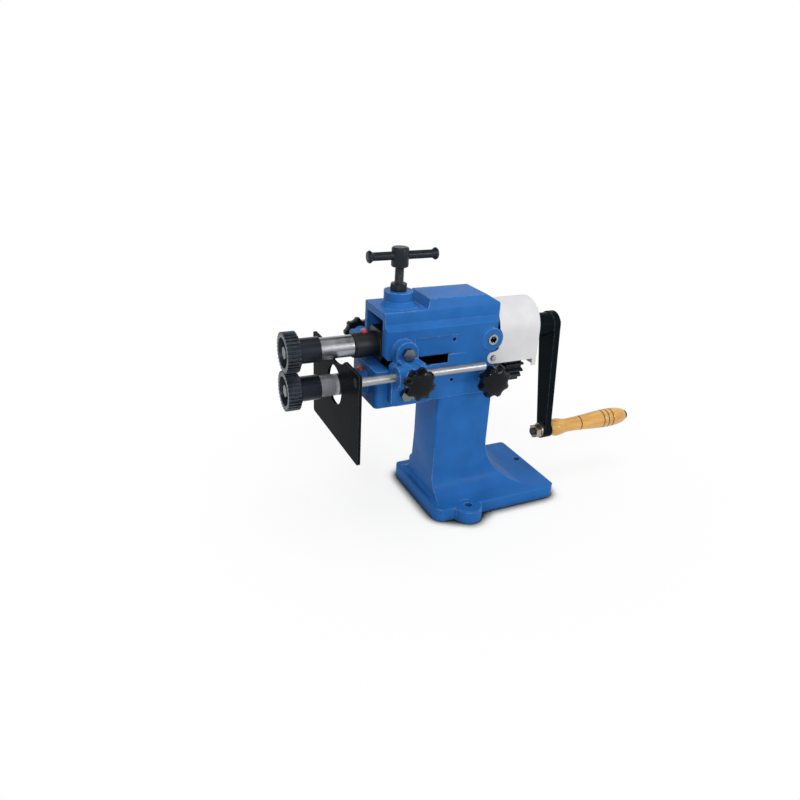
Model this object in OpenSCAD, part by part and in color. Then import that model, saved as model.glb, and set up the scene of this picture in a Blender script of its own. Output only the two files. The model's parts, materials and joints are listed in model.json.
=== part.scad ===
// Hand-cranked bench bead roller: a cast frame, two geared shafts with toothed rolls,
// a swing arm under a pressure screw, a sliding fence on two rods, and a crank.
// Origin: centre of the base's underside. +X runs along the shafts towards the crank,
// +Y to the back, +Z up. Millimetres.

/* [Base and column] */
// Length of the base along the shafts
base_l = 182; // [170:1:200]
// Width of the base
base_w = 133; // [125:1:145]
// Thickness of the base plate
base_t = 17; // [14:0.5:20]
// Radius of the base's corners
base_corner_r = 12; // [8:1:16]
// Length of the column along the shafts
column_l = 78; // [70:1:90]
// Width of the column
column_w = 60; // [52:1:64]
// Distance of the column's middle from the base's middle, towards the rolls
column_offset = 43; // [38:1:48]
// Radius of the column's upright edges
column_r = 4; // [2:0.5:8]
// Radius of the sweep from the column into the base
flare_r = 33; // [26:1:34]
// Radius of the long sweep from the column to the crank end of the base
end_sweep_r = 70; // [50:1:72]
// Radius of the small sweep at the roll end of the column
heel_r = 5.5; // [4:0.5:6]
// Distance of the ear holes from the base's middle, towards the rolls
ear_x = 46; // [40:1:52]
// Radius of the two ears
ear_r = 18.5; // [15:0.5:20]
// Radius of the bench bolt holes
bench_hole_r = 5; // [4:0.25:6]
// Distance of the third bench bolt hole from the base's crank end
end_hole_inset = 11; // [10:1:16]
// Distance of that hole from the middle, towards the back
end_hole_y = 13; // [0:1:30]

/* [Head] */
// Height of the lower shaft's axis over the bench
lower_axis_z = 179; // [172:1:190]
// Distance between the shaft axes with the rolls closed
shaft_spacing = 46; // [45:0.5:48]
// Length of the head
head_l = 150; // [145:1:158]
// Width of the head
head_w = 66; // [64:1:70]
// Height of the head's underside below the lower axis
head_drop = 21.5; // [20:0.5:24]
// Height of the low roof over the upper axis
roof_low_h = 44; // [42:0.5:48]
// Height of the side panel's roof over the upper axis
roof_high_h = 55; // [53:0.5:60]
// Length of the lower bearing block in front of the head
block_nose_l = 12; // [8:1:16]
// Width of the lower bearing block
block_w = 72; // [70:1:76]
// Height of the slot between the bearing block and the upper head
slot_h = 11; // [9:0.5:12]
// Length of the slot from the head's roll end
slot_l = 82; // [76:1:88]
// Width of the pocket that the swing arm lies in
pocket_w = 39; // [38.5:0.25:40]
// Width of the pocket's mouth at the roll end
mouth_w = 47; // [44:0.5:48]
// Length of the pocket's mouth
mouth_l = 76; // [70:1:80]
// Radius of the rounded corner over the slot
cheek_r = 6.5; // [4:0.5:7]
// Length of the round nose on the bearing block
lower_nose_l = 14; // [10:0.5:16]
// Radius of the round nose on the bearing block
lower_nose_r = 15.5; // [15:0.25:17]
// Distance of the pivot screws from the head's crank end
pivot_inset = 9.4; // [8.5:0.1:10.5]
// Distance of the pressure screw from the head's roll end
screw_inset = 28.5; // [26:0.5:32]
// Radius of the boss under the lock nut
screw_boss_r = 17; // [15:0.5:20]

/* [Shafts and bearings] */
// Diameter of the shafts in their bushes
journal_d = 20; // [18:0.5:21]
// Diameter of the bright collars
collar_d = 25.5; // [24:0.5:27]
// Diameter of the roll seats
seat_d = 18; // [16:0.5:19]
// Wall of the bushes
bush_wall = 2.9; // [2.4:0.1:3]
// Length of the front bushes
front_bush_l = 30; // [24:1:36]
// Length of the sliding sleeve at the lower shaft's crank end
sleeve_l = 42; // [38:1:50]
// Wall of the sliding sleeve
sleeve_wall = 4; // [3.5:0.25:5]
// Length of the swing arm's nose in front of the head
arm_nose_l = 25.5; // [22:0.5:30]
// Radius of the swing arm's nose
arm_nose_r = 15; // [14:0.25:16]
// Width and height of the swing arm inside the head
arm_w = 36; // [34:0.5:37]

/* [Rolls] */
// Distance from the head's roll end to the faces of the rolls
reach = 109; // [104:1:120]
// Width of the rolls' toothed rims
roll_w = 17; // [14:1:20]
// Outer radius of the rolls
roll_r = 23.3; // [22.5:0.1:23.5]
// Depth of the teeth on the rolls
roll_tooth_h = 2; // [1.6:0.1:2.4]
// Number of teeth on each roll
roll_teeth = 32; // [24:1:40]
// Radius of the hubs behind the rolls
roll_hub_r = 14.5; // [13:0.25:15]
// Length of the hubs behind the rolls
roll_hub_l = 24; // [20:1:28]

/* [Gears and cover] */
// Number of teeth on each gear
gear_teeth = 16; // [14:1:18]
// Width of the gears
gear_w = 26; // [20:1:30]
// Distance of the gears from the head's crank end
gear_gap = 23; // [21:0.5:25]
// Length of the gear cover
cover_l = 59; // [54:1:66]
// Thickness of the gear cover's sheet
cover_t = 1.5; // [1:0.1:2]
// Height of the gear cover's top over the upper axis
cover_h = 41; // [38:0.5:46]
// Distance of the gear cover's lower edge below the upper axis
cover_drop = 31; // [28:0.5:34]

/* [Crank and grip] */
// Distance from the shaft's axis to the grip's axis
crank_throw = 148; // [120:1:152]
// Angle of the crank from hanging straight down, towards the front
crank_angle = 7.6; // [0:0.1:30]
// Thickness of the crank arm
crank_t = 9; // [8:0.5:12]
// Radius of the crank's upper end
crank_hub_r = 17; // [15:0.5:19]
// Radius of the crank's eye
crank_eye_r = 10; // [9:0.5:12]
// Distance of the crank arm from the gear cover
crank_gap = 37; // [32:1:45]
// Length of the crank's hub towards the gear cover
crank_hub_l = 24; // [18:1:26]
// Length of the wooden grip
grip_l = 133; // [110:1:150]
// Largest radius of the wooden grip
grip_r = 12.7; // [11.5:0.1:14]
// Radius of the handle stud
stud_r = 5; // [4:0.25:6]

/* [Fence] */
// Distance of the fence from the faces of the rolls
fence_distance = 60.4; // [52:0.2:70]
// Width of the fence plate
fence_w = 154; // [146:1:162]
// Height of the fence plate
fence_h = 108; // [100:1:115]
// Thickness of the fence plate
fence_t = 3.5; // [3:0.25:5]
// Radius of the hole round the lower shaft
fence_hole_r = 24; // [21:0.5:24.5]
// Radius of the notch under the upper shaft
fence_notch_r = 53; // [46:1:60]
// Diameter of the guide rods
rod_d = 10; // [8:0.5:12]
// Length of the guide rods
rod_l = 158; // [150:1:170]
// Distance of the rods from the middle plane
rod_y = 66; // [63:0.5:68]
// Height of the rods over the lower axis
rod_rise = 29; // [27:0.5:31]

/* [Guide brackets and knobs] */
// Distance of the bracket bolts from the head's roll end
bracket_inset = 22; // [20:0.5:26]
// Distance of the rod boss's middle from the head's roll end
boss_inset = 15.5; // [13.5:0.5:18]
// Length of the rod boss
boss_l = 33; // [28:1:38]
// Radius of the rod boss
boss_r = 12; // [10.5:0.5:13]
// Width of the bracket's foot
foot_w = 37; // [34:0.5:40]
// Width of the bracket's arm
bracket_arm_w = 26; // [22:1:28]
// Thickness of the bracket's foot
foot_t = 10; // [8:0.5:12]
// Height of the upper bracket bolt over the lower axis
upper_bolt_rise = 46.5; // [45:0.5:48]
// Distance of the lower bracket bolt below the lower axis
lower_bolt_drop = 3.2; // [2:0.1:5]
// Diameter of the bracket bolts
bracket_bolt_d = 8; // [6:1:8]
// Diameter of the star knobs over their lobes
knob_d = 40; // [36:0.5:41]
// Number of lobes on the star knobs
knob_lobes = 7; // [6:1:9]
// Thickness of the star knobs
knob_t = 16; // [13:0.5:18]
// Radius of the star knobs' threaded stems
knob_stem_r = 4; // [3:0.5:5]
// Distance of the shaft lock knob from the head's crank end
lock_knob_inset = 12.5; // [11.5:0.5:16]

/* [Pressure screw] */
// Diameter of the pressure screw
screw_d = 10; // [9:0.5:12]
// Diameter of the screw's head
screw_head_d = 20; // [18:0.5:24]
// Height of the screw's head
screw_head_h = 24; // [20:0.5:28]
// Length of bare stem between the lock nut and the screw's head
screw_stem_l = 17; // [12:0.5:22]
// Diameter of the tommy bar
bar_d = 7; // [6:0.25:8]
// Length of the tommy bar between its end flanges
bar_l = 72; // [64:1:80]
// Distance that the tommy bar lies off the screw's middle, towards the crank
bar_offset = 3.5; // [0:0.5:8]
// Height of the lock nut
nut_h = 8; // [6:0.5:10]
// Length of the lift spring's room
spring_l = 13; // [12:0.5:13.5]

/* [Hidden] */
$fn = 64;

// Clearances
running = 0.05;
free_gap = 0.5;
touch_gap = 0.3;
past = 1;
embed = 1;

// Main planes
upper_axis_z = lower_axis_z + shaft_spacing;
column_x0 = -column_offset - column_l / 2;
column_x1 = -column_offset + column_l / 2;
head_x1 = column_x1 - 2;
head_x0 = head_x1 - head_l;
head_y = head_w / 2;
head_z0 = lower_axis_z - head_drop;
roof_low_z = upper_axis_z + roof_low_h;
roof_high_z = upper_axis_z + roof_high_h;
roof_step_x = head_x0 + 53;
roof_step_run = 5;
roof_end_run = 17;
roof_end_drop = 10;
panel_w = head_w - 8;
panel_top_w = head_w - 18;
panel_foot_z = upper_axis_z + 23;
panel_face_z = panel_foot_z + 7;
panel_bevel_z = roof_low_z - 1;
head_edge_r = 5;
block_x0 = head_x0 - block_nose_l;
block_l = 72;
block_y = block_w / 2;
block_edge_r = 5;
block_z1 = lower_axis_z + 24;
slot_z1 = block_z1 + slot_h;
pocket_z1 = upper_axis_z + 27;
mouth_x1 = head_x0 + mouth_l;
mouth_z1 = upper_axis_z + 34.5;
lower_nose_x0 = block_x0 - lower_nose_l;
screw_x = head_x0 + screw_inset;
pivot_x = head_x1 - pivot_inset;
pivot_z = upper_axis_z + 1.5;
boss_rise = 61;
boss_top_z = upper_axis_z + boss_rise;
boss_foot_h = 6;
boss_foot_r = screw_boss_r + boss_foot_h;
pivot_boss_r = 13.8;
pivot_foot_r = 19;
skirt_drop = 14;
pivot_boss_h = 2.2;
pivot_boss_y = head_y + pivot_boss_h;
small_hole_r = 2.5;
small_hole_depth = 8;
small_hole_inset = 61;
small_hole_x = head_x1 - small_hole_inset;
recess_depth = 1.2;
recess_run = 28;
recess_x1 = head_x1 - 42;
recess_z1 = upper_axis_z + 12;

// Base details
ear_y = base_w / 2 - 0.5;
ear_top_z = base_t;
ear_edge = 1.5;
ear_sweep_r = 4;
sweep_rise = base_w / 2 + ear_sweep_r - ear_y;
sweep_x = -ear_x - sqrt(pow(ear_r + ear_sweep_r, 2) - pow(sweep_rise, 2));
sweep_y0 = -ear_y - ear_r * sweep_rise / (ear_r + ear_sweep_r);
spot_face_r = ear_r - 6.5;
base_edge_r = 3;
end_hole_x = base_l / 2 - end_hole_inset;
core_l = column_l - 32;
core_w = column_w - 24;
core_h = head_z0 - 20;

// Shafts
journal_r = journal_d / 2;
collar_r = collar_d / 2;
seat_r = seat_d / 2;
bush_r = journal_r + bush_wall;
bush_flange_r = bush_r + 1.5;
bush_flange_t = 2;
sleeve_r = bush_r + sleeve_wall;
shaft_room_r = journal_r + 1.5;
sleeve_x1 = head_x1 + 5;
sleeve_flange_r = sleeve_r + 3;
sleeve_flange_t = 3;
sleeve_travel = 2;

// Swing arm
arm_x0 = head_x0 - arm_nose_l;
arm_x1 = head_x1 + 4;
arm_body_x0 = head_x0 + 2;
arm_y = arm_w / 2;
arm_chamfer = 4;
arm_rear_bush_l = 34;
pivot_tip_r = 5;
pivot_screw_r = 6.5;
pivot_tip_y = bush_r + 1.1;
pivot_shoulder_y = pocket_w / 2 + 0.3;
pivot_socket_r = 4;

// Rolls
roll_x0 = head_x0 - reach;
roll_x1 = roll_x0 + roll_w;
hub_x1 = roll_x1 + roll_hub_l;
dish_r = 15.5;
dish_depth = 9;
dish_x = roll_x0 + dish_depth;
seat_step = 2;
seat_x0 = dish_x + seat_step;
roll_chamfer = 2;
rim_x1 = roll_x1 - roll_chamfer;
rim_r = roll_r - roll_tooth_h - touch_gap;
roll_screw_r = 4;
roll_washer_t = 2;
roll_washer_r = 10;
tap_depth = 24;
roll_key_inset = 4;
key_w = 5;
key_h = 5;

// Gears
pitch_r = (shaft_spacing - 2) / 2;
tooth_module = 2 * pitch_r / gear_teeth;
gear_tip_r = pitch_r + 0.95 * tooth_module;
gear_root_r = pitch_r - 1.15 * tooth_module;
pressure_angle = 20;
backlash = 0.4;
gear_base_r = pitch_r * cos(pressure_angle);
flank_steps = 5;
gear_x0 = head_x1 + gear_gap;
gear_x1 = gear_x0 + gear_w;
gear_hub_r = 16;
gear_hub_x0 = arm_x1 + bush_flange_t + touch_gap;
lower_hub_x0 = sleeve_x1 + touch_gap;
ring_t = 1.5;
ring_r = journal_r + 3;
ring_groove = 1;
ring_land = 4;
gear_key_inset = 2;

// Upper shaft's crank end
cover_x0 = head_x1 + 1;
cover_x1 = head_x1 + cover_l;
cover_y = head_y + cover_t;
cover_arch_z = upper_axis_z + cover_h - cover_y;
cover_z0 = upper_axis_z - cover_drop;
cover_lip_z = cover_z0 - 9;
cover_lip_l = 6;
cover_hole_r = 17;
tab_r = 7.8;
tab_arc_r = pivot_boss_r + 3.6;
tab_x = head_x1 - 6;
tab_z = upper_axis_z - 23;
spacer_r = 13;
crank_x0 = cover_x1 + crank_gap;
crank_x1 = crank_x0 + crank_t;
hub_x0 = crank_x0 - crank_hub_l;
tail_r = seat_r;
tail_x0 = gear_x1 + 2;
tail_x1 = crank_x1 - 2;
crank_bolt_r = 4;
crank_washer_r = 14;
crank_washer_t = 2.5;
crank_key_inset = 3;
flank_inset = 0.2;
hub_step = 1.5;
eye_boss_r = crank_eye_r + 1;
eye_boss_proud = 2.5;
cover_screw_r = 2;
cover_screw_depth = 8;
cover_screw_head_r = 4;
cover_screw_head_h = 2.5;

// Grip
eye_y = -crank_throw * sin(crank_angle);
eye_z = upper_axis_z - crank_throw * cos(crank_angle);
eye_x0 = crank_x0 - eye_boss_proud;
grip_x0 = crank_x1 + eye_boss_proud + free_gap;
grip_x1 = grip_x0 + grip_l;
stud_head_r = 6.5;
stud_head_t = 5;
stud_head_edge = 2;
stud_end = 3;
nut_flats = 17;
washer_t = 2;
handle_nut_h = 8;
grip_keys = [[0, 0.72], [0.09, 0.94], [0.24, 0.79], [0.83, 1], [1, 0.6]];
grip_grooves = [0.37, 0.66, 0.72, 0.78];
groove_depth = 0.6;
groove_half_w = 0.7;

// Fence
fence_x0 = roll_x0 + fence_distance;
fence_x1 = fence_x0 + fence_t;
fence_z1 = lower_axis_z + 40.5;
fence_z0 = fence_z1 - fence_h;
fence_notch_z = lower_axis_z + 28.6 + fence_notch_r;
fence_corner_r = 3;
rod_r = rod_d / 2;
rod_z = lower_axis_z + rod_rise;
rod_x1 = fence_x1 + rod_l;
rod_chamfer = 1.5;
fence_screw_r = 2.5;
fence_screw_head_r = 5;
fence_screw_head_t = 2.5;
fence_screw_l = 14;

// Brackets
bracket_x = head_x0 + bracket_inset;
boss_x = head_x0 + boss_inset;
boss_x0 = boss_x - boss_l / 2;
boss_x1 = boss_x + boss_l / 2;
foot_y = block_y;
lobe_r = 13.5;
recess_x0 = bracket_x + lobe_r + 1.5;
foot_corner_r = 6;
upper_bolt_z = lower_axis_z + upper_bolt_rise;
lower_bolt_z = lower_axis_z - lower_bolt_drop;
bracket_bolt_r = bracket_bolt_d / 2;
bracket_bolt_flats = 13;
bracket_bolt_head_h = 5.5;
bracket_bolt_depth = 11;
knob_boss_r = 10;
knob_boss_y = rod_y + boss_r + 4;
knob_collar_r = 8;
valley_r = 0.225 * knob_d;
valley_offset = 0.635 * knob_d;
knob_collar_t = 2;
lock_knob_x = head_x1 - lock_knob_inset;
lock_boss_r = 10;
lock_boss_y = head_y + 10;

// Pressure screw
screw_r = screw_d / 2;
button_r = 7;
button_depth = 4;
button_rise = 3;
arm_top_z = upper_axis_z + arm_y;
swivel_r = 6;
swivel_h = 5;
swivel_floor = 1.5;
spigot_r = 3;
swivel_z0 = arm_top_z + button_rise + touch_gap;
swivel_z1 = swivel_z0 + swivel_h;
screw_tip_z = swivel_z1 + touch_gap;
nut_z0 = boss_top_z + touch_gap;
screw_head_z0 = nut_z0 + nut_h + screw_stem_l;
screw_head_z1 = screw_head_z0 + screw_head_h;
bar_r = bar_d / 2;
bar_z = screw_head_z1 - 9.5;
bar_x = screw_x + bar_offset;
bar_end_r = 7;
bar_end_t = 7.5;
bar_end_lip = 1;
bar_seat = 4;

// Lift spring
spring_inset = 56;
spring_x = head_x0 + spring_inset;
spring_wire_r = 0.8;
spring_mean_r = 4.6;
spring_turns = 4;
spring_sides = 6;
spring_rings = 8;
spring_seat_r = spring_mean_r + spring_wire_r + 0.8;
spring_seat_depth = 4;
spring_z0 = block_z1 - spring_seat_depth;
spring_z1 = spring_z0 + spring_l;

// Oil caps
oil_cap_r = 4;
oil_cap_h = 4;
oil_cap_edge = 1.5;
oil_cap_seat = 1.2;
oil_spot = 0.6;
upper_oil_x = arm_x0 + 13;
upper_oil_z = upper_axis_z + arm_nose_r - oil_spot;
lower_oil_x = lower_nose_x0 + 10;
lower_oil_z = lower_axis_z + lower_nose_r - oil_spot;

// Colours
blue = [0.19, 0.39, 0.65];
black = [0.09, 0.11, 0.13];
steel = [0.78, 0.80, 0.82];
dark_steel = [0.30, 0.33, 0.37];
bronze = [0.72, 0.55, 0.30];
cover_grey = [0.84, 0.84, 0.85];
wood = [0.85, 0.67, 0.36];
red = [0.80, 0.20, 0.12];

// A round bar along X
module along_x(x0, x1, r, y = 0, z = 0) {
    translate([x0, y, z]) rotate([0, 90, 0]) cylinder(h = x1 - x0, r = r);
}

// A cone along X
module cone_x(x0, x1, ra, rb, y = 0, z = 0) {
    translate([x0, y, z]) rotate([0, 90, 0]) cylinder(h = x1 - x0, r1 = ra, r2 = rb);
}

// A round bar along Y
module along_y(y0, y1, r, x, z) {
    translate([x, y0, z]) rotate([-90, 0, 0]) cylinder(h = y1 - y0, r = r);
}

// A round bar along Z
module along_z(z0, z1, r, x = 0, y = 0) {
    translate([x, y, z0]) cylinder(h = z1 - z0, r = r);
}

// An outline in Y and Z, drawn out along X
module slab_x(x0, x1) {
    translate([x0, 0, 0]) rotate([90, 0, 90]) linear_extrude(height = x1 - x0) children();
}

// An outline in X and Z, drawn out along Y from y0 to y1
module slab_y(y0, y1) {
    translate([0, y1, 0]) rotate([90, 0, 0]) linear_extrude(height = y1 - y0) children();
}

// A box between two corners
module box(low, high) {
    translate(low) cube(high - low);
}

// A hexagon along X, given by its width over the flats
module hex_x(x0, x1, flats, y = 0, z = 0) {
    translate([x0, y, z]) rotate([0, 90, 0]) cylinder(h = x1 - x0, r = flats / sqrt(3), $fn = 6);
}

// A hexagon along Y, given by its width over the flats
module hex_y(y0, y1, flats, x, z) {
    translate([x, y0, z]) rotate([-90, 0, 0]) cylinder(h = y1 - y0, r = flats / sqrt(3), $fn = 6);
}

// A flat rectangle with round corners, from low to high
module rounded_rect(low, high, r) {
    translate([low[0] + r, low[1]]) square([high[0] - low[0] - 2 * r, high[1] - low[1]]);
    translate([low[0], low[1] + r]) square([high[0] - low[0], high[1] - low[1] - 2 * r]);
    for (x = [low[0] + r, high[0] - r], y = [low[1] + r, high[1] - r])
        translate([x, y]) circle(r = r);
}

// The two sides of the machine: front first, then the back as its mirror image
module both_sides() {
    children();
    mirror([0, 1, 0]) children();
}

// Outline of the base seen from above
module base_outline() {
    rounded_rect([-base_l / 2, -base_w / 2], [base_l / 2, base_w / 2], base_corner_r);
}

// Section of a sweep between column and base, corner at the origin
module flare_section(r) {
    difference() {
        translate([-embed, -embed]) square(r);
        translate([r - embed / 2, r - embed / 2]) circle(r = r, $fn = 128);
    }
}

// Front view of the column's foot: a small heel towards the rolls, a long sweep towards the crank
module foot_front() {
    translate([column_x0, base_t - embed]) square([column_l, end_sweep_r]);
    translate([column_x1, base_t]) flare_section(end_sweep_r);
    translate([column_x0, base_t]) mirror([1, 0]) flare_section(heel_r);
}

// End view of the column's foot, with the same sweep front and back
module foot_end() {
    translate([-column_w / 2, base_t - embed]) square([column_w, end_sweep_r]);
    for (side = [0, 1])
        mirror([side, 0]) translate([column_w / 2, base_t]) flare_section(flare_r);
}

// Foot of the column, where the sweeps meet in a crease at each corner
module column_foot() {
    intersection() {
        slab_y(-base_w / 2, base_w / 2) foot_front();
        slab_x(-base_l / 2, base_l / 2) foot_end();
    }
}

// Base plate with its round top edge
module base_plate() {
    intersection() {
        linear_extrude(height = base_t) base_outline();
        slab_y(-base_w, base_w) top_rounded(base_l / 2);
        slab_x(-base_l, base_l) top_rounded(base_w / 2);
    }
}

// Section of the base plate, half width given, with round upper corners
module top_rounded(half) {
    translate([-half, 0]) square([2 * half, base_t - base_edge_r]);
    translate([-half + base_edge_r, 0]) square([2 * (half - base_edge_r), base_t]);
    for (side = [-1, 1])
        translate([side * (half - base_edge_r), base_t - base_edge_r]) circle(r = base_edge_r);
}

// Upright column
module column() {
    translate([0, 0, base_t - embed])
        linear_extrude(height = head_z0 - base_t + 2 * embed)
            rounded_rect([column_x0, -column_w / 2], [column_x1, column_w / 2], column_r);
}

// Ears with their broken edges
module ears() {
    both_sides() {
        along_z(0, ear_top_z - ear_edge, ear_r, -ear_x, -ear_y);
        translate([-ear_x, -ear_y, ear_top_z - ear_edge])
            cylinder(h = ear_edge, r1 = ear_r, r2 = ear_r - ear_edge);
        linear_extrude(height = ear_top_z - ear_edge) ear_sweep();
    }
}

// Hollow sweep from the base edge into an ear, on the roll side
module ear_sweep() {
    difference() {
        translate([sweep_x, sweep_y0]) square([-ear_x - sweep_x, base_edge_r - base_w / 2 - sweep_y0]);
        translate([sweep_x, -base_w / 2 - ear_sweep_r]) circle(r = ear_sweep_r - touch_gap);
    }
}

// Front view of the head
module head_outline() {
    polygon([[head_x0, head_z0], [head_x1, head_z0], [head_x1, roof_high_z - roof_end_drop],
        [head_x1 - roof_end_run, roof_high_z], [roof_step_x + roof_step_run, roof_high_z],
        [roof_step_x, roof_low_z], [head_x0, roof_low_z]]);
}

// End view of the head
module head_section() {
    polygon([[-head_y, head_z0], [head_y, head_z0], [head_y, panel_foot_z],
        [panel_w / 2, panel_face_z], [panel_w / 2, panel_bevel_z],
        [panel_top_w / 2, roof_high_z], [-panel_top_w / 2, roof_high_z],
        [-panel_w / 2, panel_bevel_z], [-panel_w / 2, panel_face_z], [-head_y, panel_foot_z]]);
}

// Outside of the head with bosses and bearing block
module head_outside() {
    intersection() {
        slab_y(-head_y, head_y) head_outline();
        slab_x(head_x0, head_x1) head_section();
        translate([0, 0, head_z0]) linear_extrude(height = roof_high_z - head_z0)
            rounded_rect([head_x0, -head_y], [head_x1, head_y], head_edge_r);
    }
    translate([0, 0, head_z0]) linear_extrude(height = block_z1 - head_z0)
        rounded_rect([block_x0, -block_y], [block_x0 + block_l, block_y], block_edge_r);
    along_x(lower_nose_x0, block_x0 + embed, lower_nose_r, 0, lower_axis_z);
    along_z(mouth_z1, boss_top_z, screw_boss_r, screw_x);
    translate([screw_x, 0, roof_low_z - embed])
        cylinder(h = boss_foot_h + embed, r1 = boss_foot_r, r2 = screw_boss_r);
    both_sides() {
        along_y(-pivot_boss_y, -pocket_w / 2 - past, pivot_boss_r, pivot_x, pivot_z);
        along_y(-foot_y, -pocket_w / 2 - past, lobe_r, bracket_x, upper_bolt_z);
        intersection() {
            translate([pivot_x, -head_y, pivot_z]) rotate([90, 0, 0]) rotate_extrude()
                polygon([[0, -embed], [pivot_foot_r, -embed], [pivot_foot_r, 0],
                    [pivot_boss_r - touch_gap, pivot_boss_h - touch_gap], [0, pivot_boss_h - touch_gap]]);
            box([head_x0, -pivot_boss_y, pivot_z - skirt_drop], [pivot_x, 0, roof_high_z]);
        }
    }
    along_y(-lock_boss_y, -sleeve_r, lock_boss_r, lock_knob_x, lower_axis_z);
}

// What the rounded corner over the slot takes off
module corner_cut() {
    difference() {
        translate([head_x0 - past, slot_z1 - past]) square(cheek_r + past);
        translate([head_x0 + cheek_r, slot_z1 + cheek_r]) circle(r = cheek_r);
    }
}

// Shallow recess in the side wall over the slot, running out towards the pivot
module wall_recess() {
    translate([0, 0, slot_z1 - past]) linear_extrude(height = recess_z1 - slot_z1 + past)
        polygon([[recess_x0, -head_y - past], [recess_x1, -head_y - past], [recess_x1, -head_y],
            [recess_x1 - recess_run, recess_depth - head_y], [recess_x0, recess_depth - head_y]]);
}

// Slot, pocket and bores of the head
module head_hollows() {
    box([block_x0 - past, -block_y - past, block_z1], [head_x0 + slot_l, block_y + past, slot_z1]);
    box([head_x0 - past, -pocket_w / 2, block_z1], [head_x1 + past, pocket_w / 2, pocket_z1]);
    box([head_x0 - past, -mouth_w / 2, block_z1], [mouth_x1, mouth_w / 2, mouth_z1]);
    slab_y(-head_y - past, head_y + past) corner_cut();
    along_x(lower_nose_x0 - past, head_x1 + past, shaft_room_r, 0, lower_axis_z);
    along_x(lower_nose_x0 - past, lower_nose_x0 + front_bush_l, bush_r, 0, lower_axis_z);
    along_x(sleeve_x1 - sleeve_l - sleeve_travel - past, head_x1 + past, sleeve_r + running,
        0, lower_axis_z);
    along_z(mouth_z1 - past, boss_top_z + past, screw_r + running, screw_x);
    along_z(spring_z0, block_z1 + past, spring_seat_r, spring_x);
    oil_seat(lower_oil_x, lower_oil_z);
    both_sides() {
        wall_recess();
        along_y(-pivot_boss_y - past, 0, pivot_screw_r, pivot_x, pivot_z);
        for (z = [upper_bolt_z, lower_bolt_z])
            along_y(-foot_y - past, bracket_bolt_depth - foot_y, bracket_bolt_r, bracket_x, z);
        along_y(-head_y - past, cover_screw_depth - head_y, cover_screw_r, tab_x, tab_z);
    }
    for (z = [lower_axis_z + 1, upper_axis_z + 6])
        along_y(-head_y - past, small_hole_depth - head_y, small_hole_r, small_hole_x, z);
    along_y(-lock_boss_y - past, 0, knob_stem_r + running, lock_knob_x, lower_axis_z);
}

// Cast frame: base, ears, column and head in one casting
module frame_casting() {
    color(blue) difference() {
        union() {
            base_plate();
            column_foot();
            column();
            ears();
            head_outside();
        }
        head_hollows();
        both_sides() {
            along_z(-past, ear_top_z + past, bench_hole_r, -ear_x, -ear_y);
            along_z(ear_top_z, ear_top_z + flare_r, spot_face_r, -ear_x, -ear_y);
        }
        along_z(-past, base_t + past, bench_hole_r, end_hole_x, end_hole_y);
        box([-column_offset - core_l / 2, -core_w / 2, -past],
            [-column_offset + core_l / 2, core_w / 2, core_h]);
    }
}

// Fence plate with the hole round the lower shaft and the notch under the upper one
module fence_plate() {
    color(black) difference() {
        slab_x(fence_x0, fence_x1) difference() {
            rounded_rect([-fence_w / 2, fence_z0], [fence_w / 2, fence_z1], fence_corner_r);
            translate([0, lower_axis_z]) circle(r = fence_hole_r);
            translate([0, fence_notch_z]) circle(r = fence_notch_r);
        }
        for (side = [-1, 1]) {
            along_x(fence_x0 - past, fence_x1 + past, fence_screw_r, side * rod_y, rod_z);
            cone_x(fence_x0, fence_x0 + fence_screw_head_t, fence_screw_head_r, fence_screw_r,
                side * rod_y, rod_z);
        }
    }
}

// Guide rod on one side, -1 front and 1 rear
module guide_rod(side) {
    color(steel) difference() {
        union() {
            along_x(fence_x1, rod_x1 - rod_chamfer, rod_r, side * rod_y, rod_z);
            cone_x(rod_x1 - rod_chamfer, rod_x1, rod_r, rod_r - rod_chamfer, side * rod_y, rod_z);
        }
        along_x(fence_x1 - past, fence_x0 + fence_screw_l, fence_screw_r, side * rod_y, rod_z);
    }
}

module guide_rod_front() {
    guide_rod(-1);
}

module guide_rod_rear() {
    guide_rod(1);
}

// Countersunk screws that hold the plate on the rods
module fence_screws() {
    color(dark_steel) for (side = [-1, 1]) {
        cone_x(fence_x0, fence_x0 + fence_screw_head_t, fence_screw_head_r, fence_screw_r,
            side * rod_y, rod_z);
        along_x(fence_x0 + fence_screw_head_t, fence_x0 + fence_screw_l, fence_screw_r,
            side * rod_y, rod_z);
    }
}

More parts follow.
